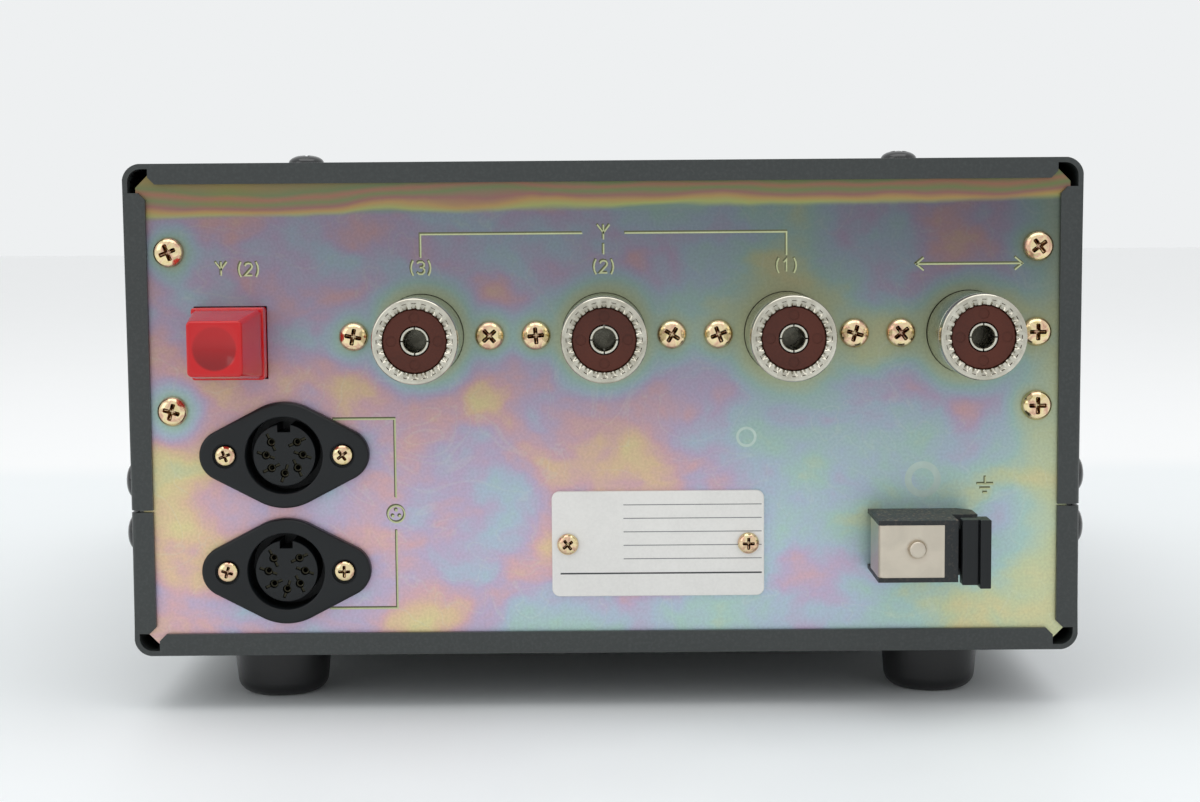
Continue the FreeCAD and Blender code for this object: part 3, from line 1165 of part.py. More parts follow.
def selector():
    """The selector: turned knob, shaft and switch."""
    x, z = "knob_x", above("knob_height")
    face = f"({FACE} - knob_gap)"
    tip = f"({FRONT} - (button_reach - cover_sheet))"
    length = f"({face} - ({tip}))"
    knob = new_body("knob_turned")
    revolve(knob, "knob_profile", "XZ", [
        ("0", "0"), ("knob_radius", "0"), ("knob_radius", "knob_skirt_side"),
        ("knob_grip", "knob_skirt"), ("knob_grip", f"{length} - knob_edge"),
        ("knob_grip - knob_edge", length), ("0", length)])
    place(knob, x, face, z, "-y")
    mark = box("knob_mark_cut", (f"{x} - knob_mark / 2", f"{x} + knob_mark / 2"),
               (f"{tip} - past", f"{tip} + knob_mark_depth"),
               (f"{z} + knob_mark_start", f"{z} + knob_grip + past"))
    hole = rod("knob_hole", "shaft_radius", "knob_hold + past", (x, f"{face} + past", z), "-y")
    shaft_end = f"({face} - knob_hold)"
    back = f"({SUBPANEL_INSIDE} + selector_depth)"
    shaft = rod("selector_shaft", "shaft_radius",
                f"{back} - selector_wall - selector_gap - {shaft_end}", (x, shaft_end, z), "+y")
    half = "selector_side / 2"
    block = box("selector_block", (f"{x} - {half}", f"{x} + {half}"), (SUBPANEL_INSIDE, back),
                (f"{z} - {half}", f"{z} + {half}"))
    bore = rod("selector_bore", "shaft_radius + stem_clearance",
               "selector_depth - selector_wall + past", (x, f"{SUBPANEL_INSIDE} - past", z), "+y")
    return [cut("selector_knob", knob, mark, hole), shaft, cut("selector_switch", block, bore)]


def meter():
    """A moving-coil meter: case, dial, window and needle."""
    x, z = "meter_x", above("meter_height")
    half_width, half_tall = "(meter_width / 2)", "(meter_tall / 2)"
    lip = box("meter_lip", (f"{x} - {half_width}", f"{x} + {half_width}"), (FACE_INSIDE, SUBPANEL),
              (f"{z} - {half_tall}", f"{z} + {half_tall}"))
    inner_width, inner_tall = f"({half_width} - meter_wall)", f"({half_tall} - meter_wall)"
    back = f"({FACE_INSIDE} + meter_depth)"
    rear = box("meter_rear", (f"{x} - {inner_width}", f"{x} + {inner_width}"), (FACE_INSIDE, back),
               (f"{z} - {inner_tall}", f"{z} + {inner_tall}"))
    dial_back = f"({back} - meter_core)"
    room_width, room_tall = f"({inner_width} - meter_wall)", f"({inner_tall} - meter_wall)"
    room = box("meter_room", (f"{x} - {room_width}", f"{x} + {room_width}"),
               (f"{FACE_INSIDE} - past", dial_back), (f"{z} - {room_tall}", f"{z} + {room_tall}"))
    pivot = f"({z} - meter_drop)"
    bearing = rod("meter_bearing_hole", "meter_pivot + stem_clearance", "meter_bearing + past",
                  (x, f"{dial_back} - past", pivot), "+y")
    case = cut("meter_case", fuse("meter_block", lip, rear), room, bearing)
    card = box("meter_card_blank", (f"{x} - {room_width}", f"{x} + {room_width}"),
               (f"{dial_back} - meter_card", dial_back), (f"{z} - {room_tall}", f"{z} + {room_tall}"))
    card_hole = rod("meter_card_hole", "meter_pivot + free_clearance", "meter_card + 2 * past",
                    (x, f"{dial_back} - meter_card - past", pivot), "+y")
    dial = cut("meter_dial", card, card_hole)
    window = box("meter_window", (f"{x} - {half_width}", f"{x} + {half_width}"),
                 (f"{FACE_INSIDE} - meter_window", FACE_INSIDE),
                 (f"{z} - {half_tall}", f"{z} + {half_tall}"))
    blade = box("needle_blade", ("-needle_width / 2", "needle_width / 2"), ("0", "needle_sheet"),
                ("-needle_tail", "needle_length"))
    hub = rod("needle_hub_disc", "needle_hub", "needle_hub_width", ("0", "-needle_sheet", "0"), "+y")
    spindle = rod("needle_spindle_rod", "meter_pivot", "needle_spindle", ("0", "0", "0"), "+y")
    needle = fuse("meter_needle", blade, hub, spindle)
    needle.Placement = Placement(
        Vector(number(x), number(f"{dial_back} - needle_stand"), number(pivot)),
        Rotation(Vector(0, 1, 0), -number("needle_rest")))
    return [case, dial, window, needle]


# ---- inside ----

def main_board():
    """The main circuit board and the relays that stand on it."""
    low = above("board_height")
    top = above("(board_height + board_sheet)")
    sheet = box("board_sheet_blank", ("-board_half_width", "board_half_width"),
                ("board_front", "board_rear"), (low, top))
    holes = [rod(f"board_hole_{index}", "screw_radius", "board_sheet + 2 * past",
                 (f"{sign} * pillar_x", y, f"{low} - past"))
             for index, (sign, y) in enumerate(
                 (sign, y) for sign in SIGNS for y in ("pillar_front", "pillar_rear"))]
    board = cut("main_circuit_board", sheet, *holes)
    relays = []
    for index in range(RELAYS):
        middle = f"(({index} - {RELAYS - 1} / 2) * relay_pitch)"
        relays.append(box(f"relay_{index}",
                          (f"{middle} - relay_width / 2", f"{middle} + relay_width / 2"),
                          ("pillar_rear - relay_length", "pillar_rear"), (top, f"{top} + relay_tall")))
    return [board, group("antenna_relays", *relays)]


def tuning_coil():
    """The tapped coil: a helix of bare wire on a ribbed former with two feet."""
    axis_z = f"({DECK_TOP} + coil_lift)"
    front = "(coil_y - coil_length / 2)"
    tube = rod("former_tube", "coil_radius", "coil_length", ("0", front, axis_z), "+y")
    rear = f"({front} + coil_length)"
    bore = rod("former_bore", "coil_radius - coil_wall", "coil_length + 2 * past",
               ("0", f"{front} - past", axis_z), "+y")
    feet = [box(f"former_foot_{word}", ("-coil_radius", "coil_radius"), ends,
                (DECK_TOP, f"{axis_z} - coil_radius + coil_foot_lap"))
            for word, ends in (("front", (front, f"{front} + coil_foot")),
                               ("rear", (f"{rear} - coil_foot", rear)))]
    former = cut("coil_former", fuse("former_blank", tube, *feet), bore)
    turn_radius = number("coil_radius + coil_wire")
    pitch = number("coil_pitch")
    wire_radius = number("coil_wire")
    path = Part.makeHelix(pitch, pitch * number("coil_turns"), turn_radius)
    section = Part.Wire(Part.makeCircle(wire_radius, Vector(turn_radius, 0, 0), Vector(0, 1, 0)))
    wire = Part.Wire(path.Edges).makePipeShell([section], True, True)
    coil = doc.addObject("Part::Feature", "tuning_coil")
    coil.Shape = wire
    start = number("coil_y - coil_pitch * coil_turns / 2")
    coil.Placement = Placement(Vector(0, start, number(axis_z)), TURN["+y"])
    return [former, coil]


def gear_outline(teeth, backlash, turn):
    """A closed wire of involute teeth about the Z axis; the first tooth points along turn."""
    module = number("gear_module")
    pitch_radius = module * teeth / 2
    base_radius = pitch_radius * math.cos(PRESSURE_ANGLE)
    tip_radius = pitch_radius + ADDENDUM * module
    root_radius = pitch_radius - DEDENDUM * module
    half_at_pitch = math.pi / (2 * teeth) - backlash / (2 * pitch_radius)

    def involute(angle):
        return math.tan(angle) - angle

    def half_width(radius):
        slant = math.acos(min(1.0, base_radius / radius))
        return half_at_pitch + involute(PRESSURE_ANGLE) - involute(slant)

    flank_start = max(root_radius, base_radius)
    flank = [flank_start + (tip_radius - flank_start) * step / FLANK_STEPS
             for step in range(FLANK_STEPS + 1)]
    rising = [(root_radius, half_width(flank[0]))] + [(radius, half_width(radius)) for radius in flank]
    points = []
    for tooth in range(teeth):
        middle = turn + 2 * math.pi * tooth / teeth
        for radius, half in rising:
            points.append((radius, middle - half))
        for radius, half in reversed(rising):
            points.append((radius, middle + half))
    corners = [Vector(r * math.cos(a), r * math.sin(a), 0) for r, a in points]
    return Part.makePolygon(corners + corners[:1])


def gear_blank(name, teeth, turn, x, y, z):
    """A solid gear that lies on the XZ plane, its width along +Y."""
    outline = gear_outline(teeth, number("gear_backlash"), turn)
    blank = doc.addObject("Part::Feature", name)
    blank.Shape = Part.Face(outline).extrude(Vector(0, 0, number("gear_width")))
    return place(blank, x, y, z, "+y")


def variable_capacitor(side):
    """A motor-driven variable capacitor on the left of the case, or its mirror image: frame
    with fixed plates, rotor, gear, motor and pinion."""
    x, y, z = "-capacitor_x", "capacitor_y", f"({DECK_TOP} + capacitor_lift)"
    shell = side + "_capacitor"
    motor_x = f"({x} - gear_module * (gear_teeth + pinion_teeth) / 2)"
    end = f"({y} + end_y)"
    base_top = f"({DECK_TOP} + capacitor_base)"
    front_face = f"({y} - end_y - end_plate)"
    base = box(shell + "_base", (f"{x} - stator_half_width", f"{x} + stator_half_width"),
               (f"{y} - end_y", end), (DECK_TOP, base_top))
    front_end = box(shell + "_front_end", (f"{x} - stator_half_width", f"{x} + stator_half_width"),
                    (front_face, f"{y} - end_y"), (DECK_TOP, f"{z} + front_end_rise"))
    rear_end = box(shell + "_rear_end", (f"{motor_x} - motor_radius", f"{x} + stator_half_width"),
                   (end, f"{end} + end_plate"), (DECK_TOP, f"{z} + rear_end_rise"))
    count = int(number("plate_count"))
    fixed = [box(f"{shell}_fixed_{index}",
                 (f"{x} - stator_half_width", f"{x} + stator_half_width"),
                 (f"{y} + ({index} - plate_count / 2 + 1) * plate_pitch - plate_sheet / 2",
                  f"{y} + ({index} - plate_count / 2 + 1) * plate_pitch + plate_sheet / 2"),
                 (base_top, f"{z} + stator_top")) for index in range(count - 1)]
    shaft_bore = rod(shell + "_shaft_bore", "shaft_radius + stem_clearance",
                     "2 * (end_y + end_plate + past)", (x, f"{front_face} - past", z), "+y")
    motor_bore = rod(shell + "_motor_bore", "motor_shaft + free_clearance", "end_plate + 2 * past",
                     (motor_x, f"{end} - past", z), "+y")
    stator = cut(shell + "_stator", fuse(shell + "_frame", base, front_end, rear_end, *fixed),
                 shaft_bore, motor_bore)
    gear_y = f"({end} + end_plate + gear_gap)"
    shaft_front = f"({front_face} - rotor_shaft_front)"
    shaft = rod(shell + "_shaft", "shaft_radius",
                f"{gear_y} + gear_width + rotor_shaft_rear - {shaft_front}", (x, shaft_front, z),
                "+y")
    discs = [rod(f"{shell}_disc_{index}", "rotor_radius", "plate_sheet",
                 (x, f"{y} + ({index} - plate_count / 2 + 0.5) * plate_pitch - plate_sheet / 2", z),
                 "+y") for index in range(count)]
    upper = box(shell + "_upper_half", (f"{x} - rotor_radius - past", f"{x} + rotor_radius + past"),
                (f"{y} - end_y", end), (z, f"{z} + rotor_radius + past"))
    half_discs = doc.addObject("Part::MultiCommon", shell + "_half_discs")
    half_discs.Shapes = [group(shell + "_discs", *discs), upper]
    rotor = fuse(shell + "_rotor", shaft, half_discs)
    gear = cut(shell + "_gear",
               gear_blank(shell + "_gear_blank", int(number("gear_teeth")), math.pi, x, gear_y, z),
               rod(shell + "_gear_bore", "shaft_radius", "gear_width + 2 * past",
                   (x, f"{gear_y} - past", z), "+y"))
    pinion_gap = math.pi / int(number("pinion_teeth"))
    pinion = fuse(shell + "_pinion",
                  gear_blank(shell + "_pinion_blank", int(number("pinion_teeth")), pinion_gap,
                             motor_x, gear_y, z),
                  rod(shell + "_pinion_shaft", "motor_shaft", f"{gear_y} - {end} + motor_shaft_depth",
                      (motor_x, f"{end} - motor_shaft_depth", z), "+y"))
    motor = cut(shell + "_motor",
                rod(shell + "_motor_case", "motor_radius", "motor_length",
                    (motor_x, f"{end} - motor_length", z), "+y"),
                rod(shell + "_motor_hole", "motor_shaft + stem_clearance",
                    "motor_hole_depth + past", (motor_x, f"{end} - motor_hole_depth", z), "+y"))
    return [stator, rotor, gear, motor, pinion]


def capacitors():
    """Both capacitors: the input one on the left and its mirror image for the output."""
    inputs = variable_capacitor("input")
    outputs = [mirrored(piece.Name.replace("input", "output"), piece) for piece in inputs]
    return inputs + outputs


# ---- the whole tuner ----

nodes = covers() + [rear_panel(), front_subpanel()]
nodes += [side_frame("left_side_frame", "-1"), side_frame("right_side_frame", "1")]
nodes += [chassis_deck(), rubber_feet()]
nodes += fastenings()
nodes += [socket_shell(name, x) for name, x in SOCKETS.items()]
nodes += socket_middles()
nodes += accessory_socket("upper_accessory_socket", above("accessory_upper"))
nodes += accessory_socket("lower_accessory_socket", above("accessory_lower"))
nodes += [accessory_screws()] + nameplate()
nodes += [bypass_button(), bypass_switch()]
nodes += ground_terminal() + [ground_lever()]
nodes += [front_panel(), indicator_lenses(), front_button("power", "power_x")]
nodes += [front_button("tune", "tune_x"), front_switches()] + selector() + meter()
nodes += main_board() + tuning_coil() + capacitors()
doc.recompute()

failed = [item.Name for item in doc.Objects if {"Invalid", "Error"} & set(item.State)]
if failed:
    raise RuntimeError(f"these objects failed: {failed}")
for node in nodes:
    if node.Shape.isNull() or not node.Shape.isValid() or not node.Shape.Solids:
        raise RuntimeError(f"{node.Label} has no valid solid")

os.makedirs("parts", exist_ok=True)
for node in nodes:
    node.Shape.exportStep(f"parts/{node.Label}.step")
whole = FreeCAD.BoundBox()
for node in nodes:
    whole.add(node.Shape.BoundBox)
print(len(nodes), "nodes,", whole)
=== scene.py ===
import json
import math

import bmesh
import bpy
from mathutils import Matrix, Vector


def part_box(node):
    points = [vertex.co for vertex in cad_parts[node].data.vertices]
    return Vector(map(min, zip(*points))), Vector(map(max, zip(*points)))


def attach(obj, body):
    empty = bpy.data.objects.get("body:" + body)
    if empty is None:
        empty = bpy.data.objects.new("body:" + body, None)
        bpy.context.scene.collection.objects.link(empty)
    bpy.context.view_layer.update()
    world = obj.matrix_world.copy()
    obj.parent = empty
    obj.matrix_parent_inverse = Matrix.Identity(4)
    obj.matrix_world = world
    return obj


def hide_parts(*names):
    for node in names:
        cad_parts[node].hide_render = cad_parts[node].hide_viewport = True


# The looks of a desk-top automatic antenna tuner. Its socket panel faces +Y and its control
# panel faces -Y. Pieces are shaped in millimetres and turned into metres as they are made.

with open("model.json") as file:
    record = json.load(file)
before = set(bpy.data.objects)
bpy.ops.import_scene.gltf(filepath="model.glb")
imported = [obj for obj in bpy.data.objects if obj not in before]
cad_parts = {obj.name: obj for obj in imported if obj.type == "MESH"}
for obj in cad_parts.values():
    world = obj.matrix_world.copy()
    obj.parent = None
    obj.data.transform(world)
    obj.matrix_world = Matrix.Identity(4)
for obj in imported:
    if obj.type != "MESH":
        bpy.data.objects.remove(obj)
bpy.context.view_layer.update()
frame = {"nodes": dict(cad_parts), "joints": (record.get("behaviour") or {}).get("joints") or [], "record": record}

MM = 0.001
FLAT = math.radians(1.0)
SHARP = math.radians(34.0)
# Corners closer than this, in millimetres, are one corner.
JOINED = 1e-4
CAD_JOINED = 0.002
MITRE_LIMIT = 0.4

# For each way a face can look: the directions of its width, its height and its normal.
AXES = {
    "+y": ((-1, 0, 0), (0, 0, 1), (0, 1, 0)),
    "-y": ((1, 0, 0), (0, 0, 1), (0, -1, 0)),
    "+x": ((0, 1, 0), (0, 0, 1), (1, 0, 0)),
    "-x": ((0, -1, 0), (0, 0, 1), (-1, 0, 0)),
    "+z": ((1, 0, 0), (0, 1, 0), (0, 0, 1)),
}

BODY_OF = {node: body for body, nodes in frame["record"]["behaviour"]["bodies"].items()
           for node in nodes}


# ---- places, from the frame ----

def box_mm(node):
    low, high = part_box(node)
    return low / MM, high / MM


def middle_of(node):
    low, high = box_mm(node)
    return (low + high) / 2


def facing(direction, at):
    """A frame at a point whose third axis points out of a face, its second axis up it."""
    matrix = Matrix([Vector(axis) for axis in AXES[direction]]).transposed().to_4x4()
    matrix.translation = Vector(at)
    return matrix


def cad_mesh(node):
    """A copy of a CAD node's mesh in millimetres, with its faces joined at their corners."""
    bm = bmesh.new()
    bm.from_mesh(frame["nodes"][node].data)
    bm.transform(Matrix.Scale(1 / MM, 4))
    bmesh.ops.remove_doubles(bm, verts=bm.verts, dist=CAD_JOINED)
    return bm


def whole_faces(node):
    """A copy of a CAD node's mesh in millimetres, with each flat face in one piece."""
    bm = cad_mesh(node)
    bmesh.ops.dissolve_limit(bm, angle_limit=FLAT, verts=bm.verts, edges=bm.edges)
    return bm


def solids_of(node):
    """The lowest and highest corner of each separate solid of a CAD node."""
    bm = cad_mesh(node)
    waiting = set(bm.verts)
    solids = []
    for start in bm.verts:
        if start not in waiting:
            continue
        waiting.remove(start)
        reached = [start]
        for vertex in reached:
            for edge in vertex.link_edges:
                other = edge.other_vert(vertex)
                if other in waiting:
                    waiting.remove(other)
                    reached.append(other)
        points = [vertex.co for vertex in reached]
        low, high = (Vector(pick(p[axis] for p in points) for axis in range(3)) for pick in (min, max))
        solids.append((low, high))
    bm.free()
    return sorted(solids, key=lambda solid: tuple(round(value, 2) for value in solid[0]))


CASE_LOW = box_mm("bottom_cover")[0].z
CASE_HIGH = box_mm("top_cover")[1].z
CASE_SIDE = box_mm("top_cover")[1].x
CASE_REAR = box_mm("top_cover")[1].y
PANEL_FACE = box_mm("rear_panel")[1].y
SOCKET_NODES = [node for node in frame["nodes"] if node.endswith("_socket_shell")]


def on_panel(node):
    """A frame on the socket panel's face, level with a node's middle."""
    centre = middle_of(node)
    return facing("+y", (centre.x, PANEL_FACE, centre.z))


def from_panel(node):
    """Where a node's back and front are, out of the socket panel's face."""
    low, high = box_mm(node)
    return low.y - PANEL_FACE, high.y - PANEL_FACE


def half_size(node):
    """Half of a node's width, depth and height."""
    low, high = box_mm(node)
    return [(high[axis] - low[axis]) / 2 for axis in range(3)]


# ---- outlines ----

def circle(radius, count, start=0.0):
    step = 2 * math.pi / count
    return [(radius * math.cos(start + step * i), radius * math.sin(start + step * i))
            for i in range(count)]


def hull_outline(discs, count, inset=0.0):
    """Points round the convex outline of several discs (x, y, radius), drawn in by inset."""
    points = []
    for i in range(count):
        angle = 2 * math.pi * (i + 0.5) / count
        cos, sin = math.cos(angle), math.sin(angle)
        x, y, radius = max(discs, key=lambda disc: disc[0] * cos + disc[1] * sin + disc[2])
        points.append((x + (radius - inset) * cos, y + (radius - inset) * sin))
    return points


def rounded_square(width, tall, corner):
    return [(sx * (width / 2 - corner), sy * (tall / 2 - corner), corner)
            for sx in (-1, 1) for sy in (-1, 1)]


def level(points, height):
    return [Vector((x, y, height)) for x, y in points]


# ---- mesh helpers ----

def skin(bm, matrix, rings, ring_closed=False):
    """Joins rings of equally many points. The ends are closed, or joined to each other."""
    rows = [[bm.verts.new(matrix @ Vector(point)) for point in ring] for ring in rings]
    pairs = list(zip(rows, rows[1:]))
    if ring_closed:
        pairs.append((rows[-1], rows[0]))
    count = len(rows[0])
    for near, far in pairs:
        for i in range(count):
            j = (i + 1) % count
            bm.faces.new((near[i], near[j], far[j], far[i]))
    if not ring_closed:
        bm.faces.new(list(reversed(rows[0])))
        bm.faces.new(rows[-1])


def add_turned(bm, matrix, profile, count=64, closed=False):
    """A turned shape about the third axis through (radius, height) points."""
    skin(bm, matrix, [level(circle(radius, count), height) for radius, height in profile], closed)


def add_block(bm, matrix, low, high):
    """A block between two corners."""
    outline = [(low[0], low[1]), (high[0], low[1]), (high[0], high[1]), (low[0], high[1])]
    skin(bm, matrix, [level(outline, low[2]), level(outline, high[2])])


def add_ribbon(bm, matrix, points, width, height, closed=False):
    """A flat raised line of even width through points of a face, with mitred corners."""
    flat = [Vector(point) for point in points]
    count = len(flat)
    rings = []
    for i, point in enumerate(flat):
        before = flat[i - 1] if i or closed else None
        after = flat[(i + 1) % count] if i < count - 1 or closed else None
        ways = [way.normalized() for way in (
            point - before if before else None, after - point if after else None) if way]
        along = sum(ways, Vector((0, 0))).normalized()
        side = Vector((-along.y, along.x))
        share = max(MITRE_LIMIT, side.dot(Vector((-ways[0].y, ways[0].x))))
        side *= width / 2 / share
        left, right = point + side, point - side
        rings.append([(left.x, left.y, 0), (left.x, left.y, height), (right.x, right.y, height),
                      (right.x, right.y, 0)])
    skin(bm, matrix, rings, closed)


def edge_rounding(size, steps=4):
    """(inset, drop) pairs over a rounded edge, from the side to the face."""
    angles = [math.pi / 2 * i / steps for i in range(steps + 1)]
    return [(size * (1 - math.cos(angle)), size * (1 - math.sin(angle))) for angle in angles]


def carve(base, cutter):
    """The base with the cutter's solids taken out. Both are bmeshes, and both are used up."""
    objects = []
    for bm in (base, cutter):
        bmesh.ops.remove_doubles(bm, verts=bm.verts, dist=JOINED)
        bmesh.ops.recalc_face_normals(bm, faces=bm.faces)
        mesh = bpy.data.meshes.new("carving")
        bm.to_mesh(mesh)
        bm.free()
        thing = bpy.data.objects.new("carving", mesh)
        bpy.context.scene.collection.objects.link(thing)
        objects.append(thing)
    modifier = objects[0].modifiers.new("carve", "BOOLEAN")
    modifier.operation = "DIFFERENCE"
    modifier.solver = "EXACT"
    modifier.use_self = True
    modifier.object = objects[1]
    shaped = objects[0].evaluated_get(bpy.context.evaluated_depsgraph_get())
    result = bmesh.new()
    result.from_mesh(shaped.data)
    for thing in objects:
        mesh = thing.data
        bpy.data.objects.remove(thing)
        bpy.data.meshes.remove(mesh)
    return result


def piece(name, bm, slot, nodes, body=None, material=None, bevel=0.0, bevel_steps=2):
    """Turns a bmesh in millimetres into a piece that stands for CAD nodes, if it has any."""
    bmesh.ops.remove_doubles(bm, verts=bm.verts, dist=JOINED)
    bmesh.ops.recalc_face_normals(bm, faces=bm.faces)
    bm.transform(Matrix.Scale(MM, 4))
    mesh = bpy.data.meshes.new(name)
    bm.to_mesh(mesh)
    bm.free()
    mesh.polygons.foreach_set("use_smooth", [True] * len(mesh.polygons))
    mesh.set_sharp_from_angle(angle=SHARP)
    mesh.materials.append(FINISHES[material or slot])
    made = bpy.data.objects.new(name, mesh)
    bpy.context.scene.collection.objects.link(made)
    if bevel:
        modifier = made.modifiers.new("edges", "BEVEL")
        modifier.width = bevel * MM
        modifier.segments = bevel_steps
        modifier.limit_method = "ANGLE"
        modifier.angle_limit = SHARP
        modifier.harden_normals = True
    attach(made, body or BODY_OF[nodes[0]])
    if nodes:
        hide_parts(*nodes)


def refined(name, node, slot, bevel, bevel_steps=2, material=None):
    """A CAD node's own shape with its edges broken."""
    piece(name, whole_faces(node), slot, [node], bevel=bevel, bevel_steps=bevel_steps,
          material=material)


def mark(name, bm, slot, material, body="tuner_case"):
    """A mark on a face, which stands for no CAD node."""
    piece(name, bm, slot, [], body=body, material=material)


# ---- finishes ----

def srgb(red, green, blue):
    """A colour given in display values of 0 to 255, as the shader's linear values."""
    linear = []
    for value in (red, green, blue):
        share = value / 255
        linear.append(share / 12.92 if share <= 0.04045 else ((share + 0.055) / 1.055) ** 2.4)
    return (*linear, 1.0)


# Most values of a noise lie between these.
NOISE_ENDS = (0.3, 0.7)
CORNER_SAMPLES = 6


class Finish:
    """One material's nodes. Sizes are in millimetres on the object."""

    def __init__(self, name, **fixed):
        self.material = bpy.data.materials.new(name)
        self.material.use_nodes = True
        self.tree = self.material.node_tree
        self.tree.nodes.clear()
        output = self.tree.nodes.new("ShaderNodeOutputMaterial")
        self.shader = self.tree.nodes.new("ShaderNodeBsdfPrincipled")
        self.tree.links.new(self.shader.outputs["BSDF"], output.inputs["Surface"])
        self.place = self.tree.nodes.new("ShaderNodeTexCoord").outputs["Object"]
        for socket, value in fixed.items():
            self.set(socket.replace("_", " ").title().replace("Ior", "IOR"), value)

    def set(self, socket, value):
        target = self.shader.inputs[socket]
        if isinstance(value, bpy.types.NodeSocket):
            self.tree.links.new(value, target)
        else:
            target.default_value = value

    def node(self, kind, inputs=(), **settings):
        made = self.tree.nodes.new(kind)
        for name, value in settings.items():
            setattr(made, name, value)
        for index, value in dict(inputs).items():
            if isinstance(value, bpy.types.NodeSocket):
                self.tree.links.new(value, made.inputs[index])
            else:
                made.inputs[index].default_value = value
        return made

    def noise(self, size, detail=2.0, warp=0.0, stretch=(1, 1, 1), seed=0.0):
        """Noise of 0 to 1 whose lumps are about that size."""
        scaled = self.node("ShaderNodeMapping", {"Vector": self.place, "Scale": stretch,
                                                 "Location": (seed, seed / 2, -seed)})
        made = self.node("ShaderNodeTexNoise", {
            "Vector": scaled.outputs[0], "Scale": 1 / (size * MM), "Detail": detail,
            "Distortion": warp})
        return made.outputs["Fac"]

    def math(self, operation, first, second=0.0, third=0.0):
        made = self.node("ShaderNodeMath", {0: first, 1: second, 2: third}, operation=operation)
        return made.outputs[0]

    def remap(self, value, low, high, to_low, to_high, smooth=True):
        made = self.node("ShaderNodeMapRange", {0: value, 1: low, 2: high, 3: to_low, 4: to_high})
        made.interpolation_type = "SMOOTHSTEP" if smooth else "LINEAR"
        return made.outputs[0]

    def mix(self, share, first, second, blend="MIX"):
        made = self.node("ShaderNodeMix", {0: share, 6: first, 7: second}, data_type="RGBA",
                         blend_type=blend)
        return made.outputs[2]

    def ramp(self, value, stops):
        made = self.node("ShaderNodeValToRGB", {0: value})
        band = made.color_ramp
        while len(band.elements) < len(stops):
            band.elements.new(1.0)
        for element, (place, colour) in zip(band.elements, stops):
            element.position = place
            element.color = srgb(*colour)
        return made.outputs[0]

    def along(self, axis, origin=0.0):
        """Millimetres along an axis of the object, from an origin."""
        metres = self.node("ShaderNodeSeparateXYZ", {0: self.place}).outputs[axis]
        return self.math("MULTIPLY_ADD", metres, 1 / MM, -origin)

    def uneven(self, noise, low, high):
        """Noise, which lies mostly between its usual ends, spread over a range."""
        return self.remap(noise, *NOISE_ENDS, low, high)

    def away_from(self, x, z):
        """Distance in millimetres from a line along Y through x and z."""
        flat = self.node("ShaderNodeVectorMath", {0: self.place, 1: (1 / MM, 0, 1 / MM)},
                         operation="MULTIPLY").outputs[0]
        apart = self.node("ShaderNodeVectorMath", {0: flat, 1: (x, 0, z)}, operation="DISTANCE")
        return apart.outputs["Value"]

    def corners(self, reach, shut=0.15, bare=0.85):
        """Painted shade mask from ambient occlusion: 1 in recesses narrower than that many millimetres, 0 in the
        open.
        """
        made = self.node("ShaderNodeAmbientOcclusion", {"Distance": reach * MM},
                         samples=CORNER_SAMPLES)
        return self.remap(made.outputs["AO"], shut, bare, 1, 0)

    def bump(self, height, depth):
        """Relief of that depth where height goes from 0 to 1."""
        made = self.node("ShaderNodeBump", {"Strength": 1.0, "Distance": depth * MM,
                                            "Height": height})
        self.set("Normal", made.outputs[0])

    def done(self, colour, roughness, *relief):
        """The material, once it has its colour, its roughness and any relief."""
        self.set("Base Color", colour)
        self.set("Roughness", roughness)
        if relief:
            self.bump(*relief)
        return self.material


def tinted(colour, change):
    return [min(1.0, value * (1 + change)) for value in colour[:3]] + [1.0]


def worked(slot, colour, grain, relief, gloss, tint=0.1, **fixed):
    """A finish with a grain, clouds of slightly different colour and uneven gloss."""
    finish = Finish(slot, **fixed)
    fine = finish.noise(grain, 3.0)
    clouds = finish.noise(grain * 18 + 6, 3.0, warp=0.6, seed=3.1)
    shade = finish.math("MULTIPLY_ADD", fine, 0.35, finish.math("MULTIPLY", clouds, 0.65))
    tones = finish.mix(finish.remap(shade, 0.35, 0.65, 0, 1), tinted(colour, -tint),
                       tinted(colour, tint))
    return finish.done(tones, finish.uneven(shade, *gloss), fine, relief)


def cover_paint():
    """Baked dark grey paint with a fine texture."""
    finish = Finish("cover_paint", specular_ior_level=0.5)
    lumps = finish.noise(0.6, 3.0, warp=0.3)
    clouds = finish.noise(38, 3.0, warp=0.8, seed=2.0)
    base = finish.mix(clouds, srgb(46, 50, 50), srgb(50, 54, 53))
    tops = finish.mix(finish.remap(lumps, 0.4, 0.75, 0, 0.4), base, srgb(68, 72, 71))
    return finish.done(tops, finish.uneven(clouds, 0.36, 0.39), lumps, 0.02)


# The order of the film's colours as it grows thicker; the last runs on into the first.
FILM_COLOURS = [(0.00, (220, 206, 154)), (0.13, (222, 190, 158)), (0.26, (212, 172, 178)),
                (0.40, (190, 174, 200)), (0.54, (176, 192, 208)), (0.68, (172, 202, 194)),
                (0.84, (198, 206, 166)), (1.00, (220, 206, 154))]
STRIP_COLOURS = [(0.00, (106, 126, 112)), (0.12, (152, 156, 88)), (0.24, (166, 134, 76)),
                 (0.36, (142, 98, 86)), (0.50, (110, 122, 72)), (0.64, (150, 104, 78)),
                 (0.78, (104, 118, 70)), (1.00, (128, 116, 66))]
# Pairs are for the panel's left and right end. Heights are above the case's underside.
STRIP_EDGE = (84.0, 86.6)
STRIP_COVER = 0.85
FILM_SIDES = (0.14, 0.70)
THICK_FILM = 0.88
SOCKET_HOLE, SCREW_HOLE = 8.0, 1.5
# Painted shade: the panel darkens from the first height to the second, more at its right end, for the dark room
# that it reflects.
PAINTED_SHADE_FROM, PAINTED_SHADE_TO = 16, 90
PAINTED_SHADE_SIDES = (0.54, 0.80)
WISP_WIDTH, WISP_COVER = 0.012, 0.16


